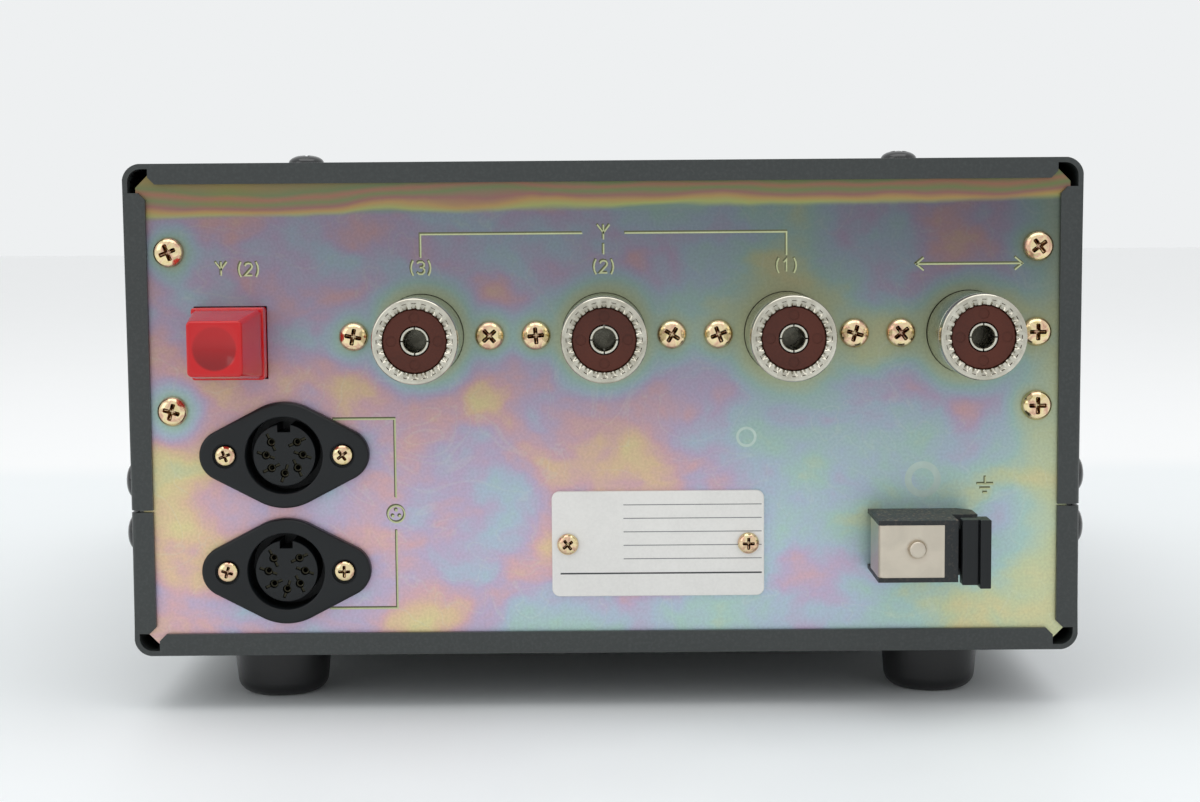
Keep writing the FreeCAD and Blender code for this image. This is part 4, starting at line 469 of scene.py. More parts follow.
def film_holes():
    """The holes that the film gathers round, as (x, z, radius)."""
    holes = [(middle_of(node).x, middle_of(node).z, SOCKET_HOLE) for node in SOCKET_NODES]
    for node in ("socket_screws", "rear_panel_screws"):
        holes += [((low.x + high.x) / 2, (low.z + high.z) / 2, SCREW_HOLE)
                  for low, high in solids_of(node)]
    return holes


def chromated_steel():
    """Iridescent chromate film on the socket panel, thicker round the holes, with painted shade towards the top
    and a darker strip along it whose darkness is a painted reflection.
    """
    finish = Finish("chromated_steel", metallic=0.5)
    calc = finish.math
    across = finish.along("X")
    height = finish.along("Z", CASE_LOW)
    broad = finish.noise(34, 3.0, warp=0.5, stretch=(0.8, 1, 1.2), seed=11.3)
    patches = finish.noise(13, 4.0, warp=0.35, stretch=(0.8, 1, 1.15), seed=5.7)
    spots = finish.noise(4.5, 3.0, warp=0.3, seed=1.9)

    def from_left(first, last):
        """A value that changes evenly across the panel, from its left end to its right."""
        return finish.remap(across, CASE_SIDE, -CASE_SIDE, first, last, smooth=False)

    # How thick the film is, in turns of its colours: lumps, holes and the right edge.
    film = from_left(*FILM_SIDES)
    for lumps, share in ((broad, 1.3), (patches, 0.95), (spots, 0.22)):
        film = calc("MULTIPLY_ADD", calc("SUBTRACT", lumps, 0.5), share, film)
    nearest = None
    for x, z, radius in film_holes():
        apart = calc("SUBTRACT", finish.away_from(x, z), radius)
        nearest = apart if nearest is None else calc("SMOOTH_MIN", nearest, apart, 3.0)
    wavy = calc("MULTIPLY_ADD", patches, 4.0, calc("ADD", nearest, -2.0))
    halo = finish.remap(wavy, -0.5, 6.5, 0.9, 0.0)
    inward = calc("MULTIPLY_ADD", patches, 16.0, calc("ADD", across, CASE_SIDE - 8.0))
    thick = calc("MAXIMUM", halo, finish.remap(inward, 3.0, 16.0, 0.75, 0.0))
    film = calc("ADD", film, calc("MULTIPLY", calc("SUBTRACT", THICK_FILM, film), thick))
    tones = finish.ramp(calc("FRACT", film), FILM_COLOURS)

    # Pale wisps, then painted shade, darker towards the top and the right end, standing in for the dark room
    # reflected there, with a grain.
    wisp = calc("ABSOLUTE", calc("SUBTRACT", finish.noise(24, 2.0, warp=2.2, seed=21.0), 0.5))
    tones = finish.mix(finish.remap(wisp, 0.0, WISP_WIDTH, WISP_COVER, 0), tones, srgb(214, 222, 206))
    painted_top_shade = finish.remap(height, PAINTED_SHADE_FROM, PAINTED_SHADE_TO, 0, 1)
    shade = calc("SUBTRACT", 1.0, calc("MULTIPLY", painted_top_shade, from_left(*PAINTED_SHADE_SIDES)))
    grain = finish.remap(finish.noise(0.5, 2.0, seed=14.0), *NOISE_ENDS, 0.93, 1.07, smooth=False)
    shade = calc("MULTIPLY", shade, grain)
    grey = finish.node("ShaderNodeCombineColor", {0: shade, 1: shade, 2: shade}).outputs[0]
    tones = finish.mix(1.0, tones, grey, "MULTIPLY")

    # The wavy strip of darker colours along the top, in the film's colours; its darkness is a painted reflection
    # of something dark above.
    above = calc("MULTIPLY_ADD", patches, 1.6, calc("SUBTRACT", height, from_left(*STRIP_EDGE)))
    drift = finish.noise(26, 2.0, stretch=(0.5, 1, 2.0), seed=4.0)
    place = calc("MULTIPLY_ADD", above, 0.15, calc("MULTIPLY_ADD", drift, 1.6, -0.85))
    strip = finish.ramp(place, STRIP_COLOURS)
    tones = finish.mix(finish.remap(above, -0.2, 1.2, 0, STRIP_COVER), tones, strip)
    return finish.done(tones, finish.uneven(patches, 0.30, 0.40),
                       finish.noise(0.4, 3.0, stretch=(1, 1, 0.12), seed=6.0), 0.01)


# Painted shade in the sockets, out of the panel's face: bright beyond the first, dark within the second.
SOCKET_SHADE_FROM, SOCKET_SHADE_TO = 15.6, 1.0


def spring_metal():
    """Plated spring metal with painted shade: darker the deeper it lies in its socket."""
    finish = Finish("contact_metal", metallic=1.0)
    out = finish.remap(finish.along("Y"), PANEL_FACE + SOCKET_SHADE_TO, PANEL_FACE + SOCKET_SHADE_FROM, 0, 1)
    clouds = finish.noise(2.0, 3.0, warp=0.8, seed=2.2)
    bright = finish.mix(clouds, srgb(214, 212, 200), srgb(190, 186, 172))
    return finish.done(finish.mix(out, srgb(54, 52, 42), bright), finish.uneven(clouds, 0.22, 0.36))


def polished(slot, colour, gloss, tint):
    """Plated or turned metal with clouds of tarnish and hair scratches."""
    finish = Finish(slot, metallic=1.0)
    clouds = finish.noise(6.0, 4.0, warp=1.0, seed=2.2)
    hairs = finish.noise(0.24, 4.0, stretch=(0.1, 1, 1), seed=8.0)
    shade = finish.math("MULTIPLY_ADD", hairs, 0.5, finish.math("MULTIPLY", clouds, 0.5))
    return finish.done(finish.mix(finish.uneven(clouds, 0, 1), tinted(colour, -tint), colour),
                       finish.uneven(shade, *gloss), hairs, 0.004)


def gold_screw():
    """Pale passivated screw steel, from gold to pink and green, with painted shade darkening its cross recess."""
    finish = Finish("gold_screw", metallic=1.0)
    film = finish.noise(2.4, 3.0, warp=1.4, seed=9.0)
    tones = finish.ramp(film, [(0.30, (226, 204, 146)), (0.44, (240, 222, 176)),
                               (0.55, (232, 200, 164)), (0.64, (214, 168, 146)),
                               (0.74, (190, 196, 140))])
    return finish.done(finish.mix(finish.corners(1.0), tones, srgb(92, 52, 36)),
                       finish.uneven(film, 0.10, 0.20), finish.noise(0.25, 2.0), 0.004)


def nickel():
    """Bright nickel plate that is dull between the serrations, with painted shade darkening it there."""
    finish = Finish("nickel", metallic=1.0)
    clouds = finish.noise(6, 4.0, warp=1.0, seed=2.2)
    plate = finish.mix(finish.uneven(clouds, 0, 1), srgb(180, 175, 160), srgb(212, 208, 194))
    shaded_and_dull = finish.corners(1.6, 0.35, 0.98)
    return finish.done(finish.mix(shaded_and_dull, plate, srgb(74, 70, 56)),
                       finish.math("MULTIPLY_ADD", shaded_and_dull, 0.2, 0.14),
                       finish.noise(0.3, 4.0, stretch=(0.1, 1, 1), seed=8.0), 0.003)


def red_plastic():
    """Red moulding, with painted shade in the dish in the button's face, darker towards its lower edge."""
    finish = Finish("red_plastic")
    centre = middle_of("bypass_button")
    face = box_mm("bypass_button")[1].y
    dish = finish.remap(finish.away_from(centre.x, centre.z), 3.7, 4.25, 1, 0)
    shade = finish.math("MULTIPLY", dish, finish.remap(finish.along("Z", centre.z), -3.6, 3.2, 0.8, 0.25))
    front = finish.remap(finish.along("Y"), face - 1.4, face - 1.1, 0, 1)
    clouds = finish.noise(12, 3.0, warp=0.6, seed=3.1)
    red = finish.mix(clouds, srgb(200, 8, 18), srgb(188, 6, 14))
    return finish.done(finish.mix(finish.math("MULTIPLY", shade, front), red, srgb(112, 4, 10)),
                       finish.uneven(clouds, 0.12, 0.20), finish.noise(1.2, 3.0), 0.008)


def speckled_black():
    """Black moulding whose upper faces have weathered to brown-grey specks."""
    finish = Finish("speckled_black", specular_ior_level=0.45)
    grains = finish.noise(0.7, 4.0, warp=0.4, seed=3.0)
    normal = finish.node("ShaderNodeNewGeometry").outputs["Normal"]
    up = finish.node("ShaderNodeSeparateXYZ", {0: normal}).outputs["Z"]
    dusty = finish.math("MULTIPLY", finish.remap(grains, 0.50, 0.66, 0, 1),
                        finish.remap(up, 0.4, 0.9, 0.10, 0.95))
    return finish.done(finish.mix(dusty, srgb(26, 30, 32), srgb(136, 122, 108)),
                       finish.uneven(grains, 0.42, 0.62), grains, 0.05)


def meter_glass():
    finish = Finish("meter_glass", transmission_weight=1.0, ior=1.49)
    rough = finish.remap(finish.noise(14, 3.0), 0.4, 0.7, 0.02, 0.06)
    return finish.done(srgb(240, 246, 248), rough)


# Colour, size of the grain, depth of the grain, roughness, and what else differs.
PLAIN_FINISHES = {
    "black_screw": ((22, 24, 25), 0.5, 0.006, (0.10, 0.18), {"specular_ior_level": 0.7}),
    "plated_steel": ((176, 178, 176), 0.6, 0.01, (0.28, 0.42), {"metallic": 1.0}),
    "foot_rubber": ((26, 26, 27), 0.6, 0.02, (0.26, 0.40), {}),
    "insulator": ((76, 34, 22), 0.4, 0.02, (0.46, 0.60), {"tint": 0.18, "specular_ior_level": 0.3}),
    "black_plastic": ((20, 23, 25), 0.5, 0.015, (0.34, 0.46), {"specular_ior_level": 0.32}),
    "nameplate_white": ((226, 224, 220), 0.5, 0.006, (0.28, 0.38), {"tint": 0.04}),
    "switch_plastic": ((52, 53, 56), 0.5, 0.02, (0.4, 0.55), {}),
    "front_plastic": ((44, 46, 48), 0.35, 0.03, (0.46, 0.58), {}),
    "button_plastic": ((148, 150, 152), 0.5, 0.02, (0.4, 0.52), {}),
    "lens": ((168, 30, 26), 1.5, 0.004, (0.10, 0.18), {"transmission_weight": 0.35}),
    "dial_card": ((232, 228, 206), 0.6, 0.01, (0.55, 0.7), {"tint": 0.04}),
    "needle_red": ((196, 40, 30), 0.5, 0.01, (0.35, 0.5), {}),
    "board": ((38, 82, 52), 0.8, 0.02, (0.3, 0.45), {}),
    "relay_plastic": ((46, 62, 96), 0.6, 0.02, (0.3, 0.42), {}),
    "former_plastic": ((222, 214, 190), 0.6, 0.02, (0.4, 0.55), {}),
    "gear_nylon": ((228, 224, 210), 0.6, 0.02, (0.38, 0.5), {}),
    "printed_grey": ((120, 121, 122), 0.5, 0.004, (0.4, 0.5), {}),
    "printed_dark": ((58, 59, 61), 0.5, 0.004, (0.4, 0.5), {}),
    "printed_white": ((222, 224, 224), 0.5, 0.004, (0.45, 0.55), {}),
    # Painted highlight and painted shadow for the lower and upper edges of the panel's engraved grooves.
    "groove_painted_light": ((186, 192, 148), 0.5, 0.006, (0.35, 0.5), {"metallic": 0.3}),
    "groove_painted_dark": ((92, 94, 66), 0.5, 0.006, (0.4, 0.55), {"metallic": 0.3}),
    "weld_mark": ((182, 200, 192), 2.0, 0.004, (0.3, 0.42), {"metallic": 0.5}),
}

# Colour, roughness, and how much darker the tarnish is.
METAL_FINISHES = {
    "terminal_nickel": ((208, 198, 182), (0.30, 0.42), 0.12),
    "shaft_steel": ((190, 190, 188), (0.2, 0.3), 0.1),
    "coil_wire": ((204, 130, 92), (0.2, 0.34), 0.2),
    "capacitor_metal": ((206, 208, 210), (0.26, 0.4), 0.1),
    "pinion_brass": ((212, 176, 104), (0.2, 0.32), 0.14),
    "motor_steel": ((178, 178, 176), (0.26, 0.38), 0.12),
}

FINISHES = {
    "cover_paint": cover_paint(),
    "chromated_steel": chromated_steel(),
    "contact_metal": spring_metal(),
    "gold_screw": gold_screw(),
    "nickel": nickel(),
    "red_plastic": red_plastic(),
    "speckled_black": speckled_black(),
    "meter_glass": meter_glass(),
}
for slot, (colour, grain, relief, gloss, more) in PLAIN_FINISHES.items():
    FINISHES[slot] = worked(slot, srgb(*colour), grain, relief, gloss, **more)
for slot, (colour, gloss, tint) in METAL_FINISHES.items():
    FINISHES[slot] = polished(slot, srgb(*colour), gloss, tint)

for thing in frame["nodes"].values():
    for place in thing.material_slots:
        place.material = FINISHES[place.material.name.split(".")[0]]


# ---- covers ----

FOLD_RADIUS = 0.9
COVER_EDGE = 0.14
NEAR = 0.02
SHORTEST_FOLD = 2.0


def cover(node, outer):
    """A folded sheet cover whose rear lips turn in with a small radius."""
    bm = whole_faces(node)
    folds = []
    for edge in bm.edges:
        first, last = (vertex.co for vertex in edge.verts)
        if min(first.y, last.y) < CASE_REAR - NEAR or edge.calc_length() < SHORTEST_FOLD:
            continue
        on_side = min(abs(first.x), abs(last.x)) > CASE_SIDE - NEAR and first.x * last.x > 0
        on_level = max(abs(first.z - outer), abs(last.z - outer)) < NEAR
        if on_side or on_level:
            folds.append(edge)
    bmesh.ops.bevel(bm, geom=folds, offset=FOLD_RADIUS, offset_type="OFFSET", segments=5,
                    profile=0.5, affect="EDGES")
    piece(node + "_folded", bm, "cover_paint", [node], bevel=COVER_EDGE)


cover("top_cover", CASE_HIGH)
cover("bottom_cover", CASE_LOW)


# ---- screws ----

CROSS_STEP = math.radians(37)
SCREW_SIDES = 64
# Shares of a head's height or radius.
RIM_SHARE = 0.16
CROSS_REACH, CROSS_HALF_WIDTH, CROSS_CORNER = 0.60, 0.145, 0.6
DOME_STEPS = (0, 0.02, 0.06, 0.13, 0.24, 0.4, 0.6, 0.8, 0.95, 1)
RECESS_STEPS = ((0.95, 0.12), (0.84, 0.45), (0.30, 0.82))


def cross_outline(reach, half_width):
    """Points round a cross recess, two for each listed point, starting at an inner corner."""
    corner = half_width * CROSS_CORNER
    mid = (half_width + reach) / 2
    arm = [(half_width, -half_width), (mid, -half_width), (reach - corner, -half_width),
           (reach, corner - half_width), (reach, 0), (reach, half_width - corner),
           (reach - corner, half_width), (mid, half_width)]
    corners = [Matrix.Rotation(math.pi / 2 * quarter, 2) @ Vector(point)
               for quarter in range(4) for point in arm]
    points = []
    for here, following in zip(corners, corners[1:] + corners[:1]):
        points += [here, (here + following) / 2]
    return points


def add_screw(bm, matrix, radius, kind):
    """A domed cross-recess head and its shank. The frame's origin is the head's seat."""
    height, bulge, shank_radius, length = kind
    rim = RIM_SHARE * height
    outline = cross_outline(radius * CROSS_REACH, radius * CROSS_HALF_WIDTH)
    rings = [level(circle(r, SCREW_SIDES, -math.pi / 4), z) for r, z in (
        (shank_radius * 0.7, -length), (shank_radius, 0.5 - length), (shank_radius, 0),
        (radius * 0.97, 0), (radius, rim * 0.5))]
    edge_points = [Vector(point) for point in circle(radius, SCREW_SIDES, -math.pi / 4)]

    def dome(point):
        share = min(1.0, point.length / radius)
        return rim + (height - rim) * math.sqrt(max(0.0, 1 - share ** bulge))

    for step in DOME_STEPS:
        points = [outside.lerp(inside, step) for outside, inside in zip(edge_points, outline)]
        rings.append([(p.x, p.y, dome(p)) for p in points])
    for share, depth in RECESS_STEPS:
        rings.append([(p.x * share, p.y * share, height * (1 - depth)) for p in outline])
    skin(bm, matrix, rings)


# Height of the head, how square its dome is, and the radius and length of the shank.
PAN, TRUSS, SMALL = (1.9, 3.0, 1.5, 6.0), (1.9, 2.3, 1.5, 6.0), (1.3, 2.8, 1.0, 4.0)
SCREW_GROUPS = {
    "top_cover_screws": ("black_screw", TRUSS, ("+z",)),
    "side_cover_screws": ("black_screw", TRUSS, ("-x", "+x")),
    "rear_panel_screws": ("gold_screw", PAN, ("+y",)),
    "socket_screws": ("gold_screw", PAN, ("+y",)),
    "accessory_socket_screws": ("gold_screw", SMALL, ("+y",)),
    "nameplate_screws": ("gold_screw", SMALL, ("+y",)),
}


def screws(node):
    """A group of screws, each with its cross turned further than the last one's."""
    slot, kind, ways = SCREW_GROUPS[node]
    bm = bmesh.new()
    for index, (low, high) in enumerate(solids_of(node)):
        centre = (low + high) / 2
        way = ways[0] if len(ways) == 1 or centre.x < 0 else ways[1]
        axis = "xyz".index(way[1])
        sign = 1 if way[0] == "+" else -1
        top = high[axis] if sign > 0 else low[axis]
        seat = centre.copy()
        seat[axis] = top - sign * kind[0]
        across = (axis + 1) % 3
        radius = (high[across] - low[across]) / 2
        turned = facing(way, seat) @ Matrix.Rotation(CROSS_STEP * index, 4, "Z")
        add_screw(bm, turned, radius, kind)
    piece(node.replace("screws", "cross_head_screws"), bm, slot, [node])


for group in SCREW_GROUPS:
    screws(group)


# ---- coaxial sockets ----

# A cutter goes this far past a face.
PAST = 1.0
SERRATIONS = 24
SERRATION_POINTS = 8
TOOTH_DEPTH, TOOTH_MARGIN, TOOTH_END_SHARE = 0.75, 0.12, 0.35
COAX_RIM, COAX_EDGE = 1.05, 0.5
RING_GROOVE = 2.7
LUG_RADIUS, LUG_THICKNESS, LUG_POINTS = 4.0, 2.0, 96
INSULATOR_GAP, INSULATOR_FACE = 0.14, -0.35
DIMPLE_RADIUS, DIMPLE_CIRCLE, DIMPLE_DEPTH = 0.98, 4.3, 0.14
CONTACT_WALL, CONTACT_DEPTH = 0.62, 12.0
SLIT, SLIT_DEPTH = 0.26, 6.5
AXIS_GAP = 0.02


def coax_shell(node):
    """A nickel-plated barrel with a serrated front and a flange behind the panel."""
    matrix = on_panel(node)
    back, reach = from_panel(node)
    half_width, _, radius = half_size(node)
    bore = box_mm("socket_insulators")[1].z - middle_of("socket_insulators").z
    tooth_out, tooth_in = radius - COAX_RIM, bore + TOOTH_MARGIN
    groove = reach - RING_GROOVE
    profile = [(bore, back), (bore, reach - TOOTH_DEPTH - 0.1), (tooth_in, reach)]
    profile += [(tooth_in + (tooth_out - tooth_in) * share, reach) for share in (0.3, 0.65, 1.0)]
    profile += [(tooth_out + TOOTH_MARGIN, reach), (radius - 0.55, reach)]
    profile += [(radius - inset, reach - drop) for inset, drop in reversed(edge_rounding(COAX_EDGE))]
    profile += [(radius - inset, height) for inset, height in (
        (0, groove + 0.22), (0.2, groove + 0.1), (0.2, groove - 0.1), (0, groove - 0.22),
        (0, 0.75), (0.18, 0.55), (0.5, 0.45), (0.5, back))]
    rings = []
    for r, z in profile:
        toothed = tooth_in - 0.01 <= r <= tooth_out + 0.01 and z > groove
        row = []
        for i, (x, y) in enumerate(circle(r, SERRATIONS * SERRATION_POINTS)):
            valley = math.cos(math.pi * i / SERRATION_POINTS) ** 2
            inward = (tooth_out - r) / (tooth_out - tooth_in)
            share = TOOTH_END_SHARE + (1 - TOOTH_END_SHARE) * inward
            row.append((x, y, z - (TOOTH_DEPTH * valley * share if toothed else 0)))
        rings.append(row)
    bm = bmesh.new()
    skin(bm, matrix, rings, ring_closed=True)
    spread = half_width - LUG_RADIUS
    lugs = [(0, 0, radius), (spread, 0, LUG_RADIUS), (-spread, 0, LUG_RADIUS)]
    outline = hull_outline(lugs, LUG_POINTS)
    hole = circle(radius - 0.4, LUG_POINTS, math.pi / LUG_POINTS)
    top = back + LUG_THICKNESS
    skin(bm, matrix, [level(outline, back), level(outline, top), level(hole, top),
                      level(hole, back)], ring_closed=True)
    piece(node.replace("shell", "barrel"), bm, "nickel", [node])


def coax_middles():
    """Brown insulators with four round dimples, and slit spring contacts in them."""
    rims, dimples, tubes, slits = (bmesh.new() for _ in range(4))
    contacts = {round(((low + high) / 2).x): (low, high) for low, high in solids_of("socket_contacts")}
    face = INSULATOR_FACE
    for low, high in solids_of("socket_insulators"):
        centre = (low + high) / 2
        matrix = facing("+y", (centre.x, high.y, centre.z))
        radius = (high.z - low.z) / 2 - 0.02
        pin_low, pin_high = contacts[round(centre.x)]
        pin = (pin_high.z - pin_low.z) / 2
        depth = high.y - low.y
        add_turned(rims, matrix, [
            (pin + INSULATOR_GAP, -depth), (pin + INSULATOR_GAP, face - 0.12),
            (pin + INSULATOR_GAP + 0.12, face), (radius - 0.15, face), (radius, face - 0.15),
            (radius, -depth)], closed=True)
        for x, y in circle(DIMPLE_CIRCLE, 4):
            add_turned(dimples, matrix @ Matrix.Translation((x, y, 0)),
                       [(DIMPLE_RADIUS, face - DIMPLE_DEPTH), (DIMPLE_RADIUS, PAST)], 32)
        bore = pin - CONTACT_WALL
        tail = pin_low.y - high.y
        add_turned(tubes, matrix, [
            (bore, -CONTACT_DEPTH), (bore, face - 0.5), (bore + 0.2, face - 0.16),
            (bore + 0.32, face - 0.1), (pin - 0.12, face - 0.12), (pin, face - 0.3),
            (pin, tail + 0.3), (pin - 0.3, tail), (AXIS_GAP, tail), (AXIS_GAP, -CONTACT_DEPTH)],
            closed=True)
        for wide, tall in ((pin + PAST, SLIT / 2), (SLIT / 2, pin + PAST)):
            add_block(slits, matrix, (-wide, -tall, -SLIT_DEPTH), (wide, tall, PAST))
    piece("brown_insulators", carve(rims, dimples), "insulator", ["socket_insulators"])
    piece("slit_contacts", carve(tubes, slits), "contact_metal", ["socket_contacts"])


for socket_node in SOCKET_NODES:
    coax_shell(socket_node)
coax_middles()


# ---- accessory sockets ----

INSERT_DROP, INSERT_RADIUS = 0.8, 5.95
MOUTH_RADIUS, MOUTH_DEPTH = 7.35, 8.0
BARREL_RADIUS = 8.6
EAR_RADIUS, FLANGE_POINTS, FLANGE_EDGE = 5.0, 144, 0.7
PIN_CIRCLE, PIN_STEPS, PIN_TURN = 3.5, range(-3, 4), 45
NOTCH, NOTCH_END = (2.5, 1.6), 9.0
SCREW_SINK = (2.4, 0.6)
PIN_HOLE = 0.83
PIN_SLOT = (3.6, 0.6)
SLOT_TURN = math.radians(20)
SPRING_RADIUS, SPRING_FOOT_RADIUS = 0.46, 0.68
TONGUE = (0.2, 0.42)


def accessory_flange(matrix, spread, radius, back, face):
    """The flange with its two sunk screw seats and the round barrel behind it."""
    discs = [(0, 0, radius), (spread, 0, EAR_RADIUS), (-spread, 0, EAR_RADIUS)]
    floor = face - MOUTH_DEPTH

    def round_at(r, z):
        return level(circle(r, FLANGE_POINTS, math.pi / FLANGE_POINTS), z)

    rings = [round_at(BARREL_RADIUS, 0), level(hull_outline(discs, FLANGE_POINTS), 0)]
    rings += [level(hull_outline(discs, FLANGE_POINTS, inset), face - drop)
              for inset, drop in edge_rounding(FLANGE_EDGE, 5)]
    rings += [round_at(MOUTH_RADIUS + 0.3 - inset, face - drop)
              for inset, drop in ((0, 0), (0.16, 0.05), (0.26, 0.15), (0.3, 0.3))]
    rings += [round_at(r, z) for r, z in ((MOUTH_RADIUS, floor), (INSERT_RADIUS, floor),
                                          (INSERT_RADIUS, back), (BARREL_RADIUS, back))]
    flange = bmesh.new()
    skin(flange, matrix, rings, ring_closed=True)
    sinks = bmesh.new()
    sink_radius, sink_depth = SCREW_SINK
    for side in (-1, 1):
        add_turned(sinks, matrix @ Matrix.Translation((side * spread, 0, 0)),
                   [(sink_radius, face - sink_depth), (sink_radius, face + PAST)], 48)
    return carve(flange, sinks)


def accessory_socket(node, contacts_node):
    """A round seven-way socket in a flange with rounded edges, and its sprung contacts."""
    matrix = on_panel(node)
    back, face = from_panel(node)
    half_width, _, radius = half_size(node)
    bm = accessory_flange(matrix, half_width - EAR_RADIUS, radius, back, face)
    floor = face - MOUTH_DEPTH
    top = face - INSERT_DROP
    insert, holes, springs = (bmesh.new() for _ in range(3))
    add_turned(insert, matrix, [(INSERT_RADIUS, back), (INSERT_RADIUS, top - 0.25),
                                (INSERT_RADIUS - 0.08, top - 0.08), (INSERT_RADIUS - 0.25, top)], 96)
    width, deep = NOTCH
    add_block(holes, matrix, (-width / 2, INSERT_RADIUS - deep, floor), (width / 2, NOTCH_END, face + PAST))
    long, wide = PIN_SLOT
    half_tongue, tip_reach = TONGUE
    for step in PIN_STEPS:
        around = math.radians(PIN_TURN * step)
        spot = Matrix.Translation((-PIN_CIRCLE * math.sin(around), -PIN_CIRCLE * math.cos(around), 0))
        at = matrix @ spot @ Matrix.Rotation(-around - SLOT_TURN, 4, "Z")
        add_turned(holes, at, [(PIN_HOLE, floor + 1), (PIN_HOLE, face + PAST)], 32)
        add_block(holes, at, (-wide / 2, -long / 2, floor + 1.5), (wide / 2, long / 2, face + PAST))
        add_turned(springs, at, [
            (AXIS_GAP, floor + 1.4), (SPRING_RADIUS, floor + 1.4), (SPRING_RADIUS, top - 0.9),
            (SPRING_FOOT_RADIUS, top - 0.8), (SPRING_FOOT_RADIUS, back - 4), (AXIS_GAP, back - 4)],
            24, closed=True)
        for side in (-1, 1):
            tip = side * (long / 2 - 0.5)
            add_block(springs, at, (-half_tongue, tip - tip_reach, floor + 1.6),
                      (half_tongue, tip + tip_reach, top - 0.45))
    carved = carve(insert, holes)
    mesh = bpy.data.meshes.new("insert")
    carved.to_mesh(mesh)
    carved.free()
    bm.from_mesh(mesh)
    bpy.data.meshes.remove(mesh)
    piece(node + "_moulding", bm, "black_plastic", [node])
    piece(contacts_node + "_springs", springs, "contact_metal", [contacts_node])


for which in ("upper", "lower"):
    accessory_socket(which + "_accessory_socket", which + "_accessory_contacts")


# ---- nameplate ----

PLATE_CORNER, PLATE_EDGE, PLATE_POINTS = 1.5, 0.2, 64
RULES, RULE_STEP, TOP_RULE, RULE_START, RULE_END_GAP = 5, 2.6, 7.5, -6.6, 0.5
BASE_RULE, BASE_RULE_GAP = -5.7, 1.6
PRINTED = 0.02


def nameplate():
    """A blank white plate with rounded corners, ruled with five thin lines and a thick one."""
    matrix = on_panel("nameplate")
    face = from_panel("nameplate")[1]
    low, high = box_mm("nameplate")
    width, tall = high.x - low.x, high.z - low.z
    discs = rounded_square(width, tall, PLATE_CORNER)
    rings = [level(hull_outline(discs, PLATE_POINTS), 0)]
    rings += [level(hull_outline(discs, PLATE_POINTS, inset), face - drop)
              for inset, drop in edge_rounding(PLATE_EDGE, 3)]
    plate, thin, thick = (bmesh.new() for _ in range(3))
    skin(plate, matrix, rings)
    piece("blank_nameplate", plate, "nameplate_white", ["nameplate"])
    proud = matrix @ Matrix.Translation((0, 0, face))
    right = width / 2 - RULE_END_GAP
    for row in range(RULES):
        y = TOP_RULE - RULE_STEP * row
        add_ribbon(thin, proud, [(RULE_START, y), (right, y)], 0.16, PRINTED)
    mark("nameplate_rules", thin, "nameplate_white", "printed_grey")
    add_ribbon(thick, proud, [(-width / 2 + BASE_RULE_GAP, BASE_RULE), (right, BASE_RULE)], 0.3,
               PRINTED)
    mark("nameplate_base_rule", thick, "nameplate_white", "printed_dark")


nameplate()


# ---- bypass push button ----

COLLAR_HEIGHT, CAP_BASE, CAP_TIP, CAP_EDGE = 4.0, 13.1, 10.2, 0.55
COLLAR_CORNER, CAP_CORNER, CAP_POINTS = 0.5, 0.9, 96
DISH_RADIUS, DISH_DEPTH, DISH_STEPS = 4.2, 0.9, (0.88, 0.7, 0.5, 0.3, 0.1)
STEM_RADIUS, STEM_EDGE, STEM_TOP = 2.0, 0.3, -1.25


def bypass_button():
    """A red square cap, tapered, with soft edges and a round dish in its face."""
    matrix = on_panel("bypass_button")
    stem, face = from_panel("bypass_button")
    low, high = box_mm("bypass_button")
    collar = high.x - low.x
    taper = face - CAP_EDGE - COLLAR_HEIGHT

    def square(side, corner, z, inset=0.0):
        return level(hull_outline(rounded_square(side, side, corner), CAP_POINTS, inset), z)

    def dish(radius, z):
        return level(circle(radius, CAP_POINTS, math.pi / CAP_POINTS), z)

    rings = [square(collar, COLLAR_CORNER, -1.2), square(collar, COLLAR_CORNER, COLLAR_HEIGHT - 0.25),
             square(collar, COLLAR_CORNER, COLLAR_HEIGHT, 0.25),
             square(CAP_BASE, CAP_CORNER, COLLAR_HEIGHT + 0.02)]
    rings += [square(CAP_BASE + (CAP_TIP - CAP_BASE) * share, CAP_CORNER, COLLAR_HEIGHT + taper * share)
              for share in (0.34, 0.67, 1.0)]
    rings += [square(CAP_TIP, CAP_CORNER, face - drop, inset)
              for inset, drop in edge_rounding(CAP_EDGE, 5)[1:]]
    rings += [dish(DISH_RADIUS + 0.12, face), dish(DISH_RADIUS - 0.05, face - 0.05)]
    rings += [dish(DISH_RADIUS * share, face - DISH_DEPTH * (1 - share ** 2)) for share in DISH_STEPS]
    bm = bmesh.new()
    skin(bm, matrix, rings)
    add_turned(bm, matrix, [(STEM_RADIUS - STEM_EDGE, stem), (STEM_RADIUS, stem + STEM_EDGE),
                            (STEM_RADIUS, STEM_TOP)], 32)
    piece("red_push_button", bm, "red_plastic", ["bypass_button"])


bypass_button()


# ---- ground terminal ----

PLATE_BEND, PLATE_THICKNESS = 1.2, 0.8
HOLLOW_RADIUS, HOLLOW_DEPTH = 2.75, 0.5
FACE_STEPS, BEND_STEPS, HEIGHT_STEPS = 44, 8, 36
RIVET_DOME, RIVET_ANGLES = 0.42, (0, 15, 30, 45, 60, 75, 86)


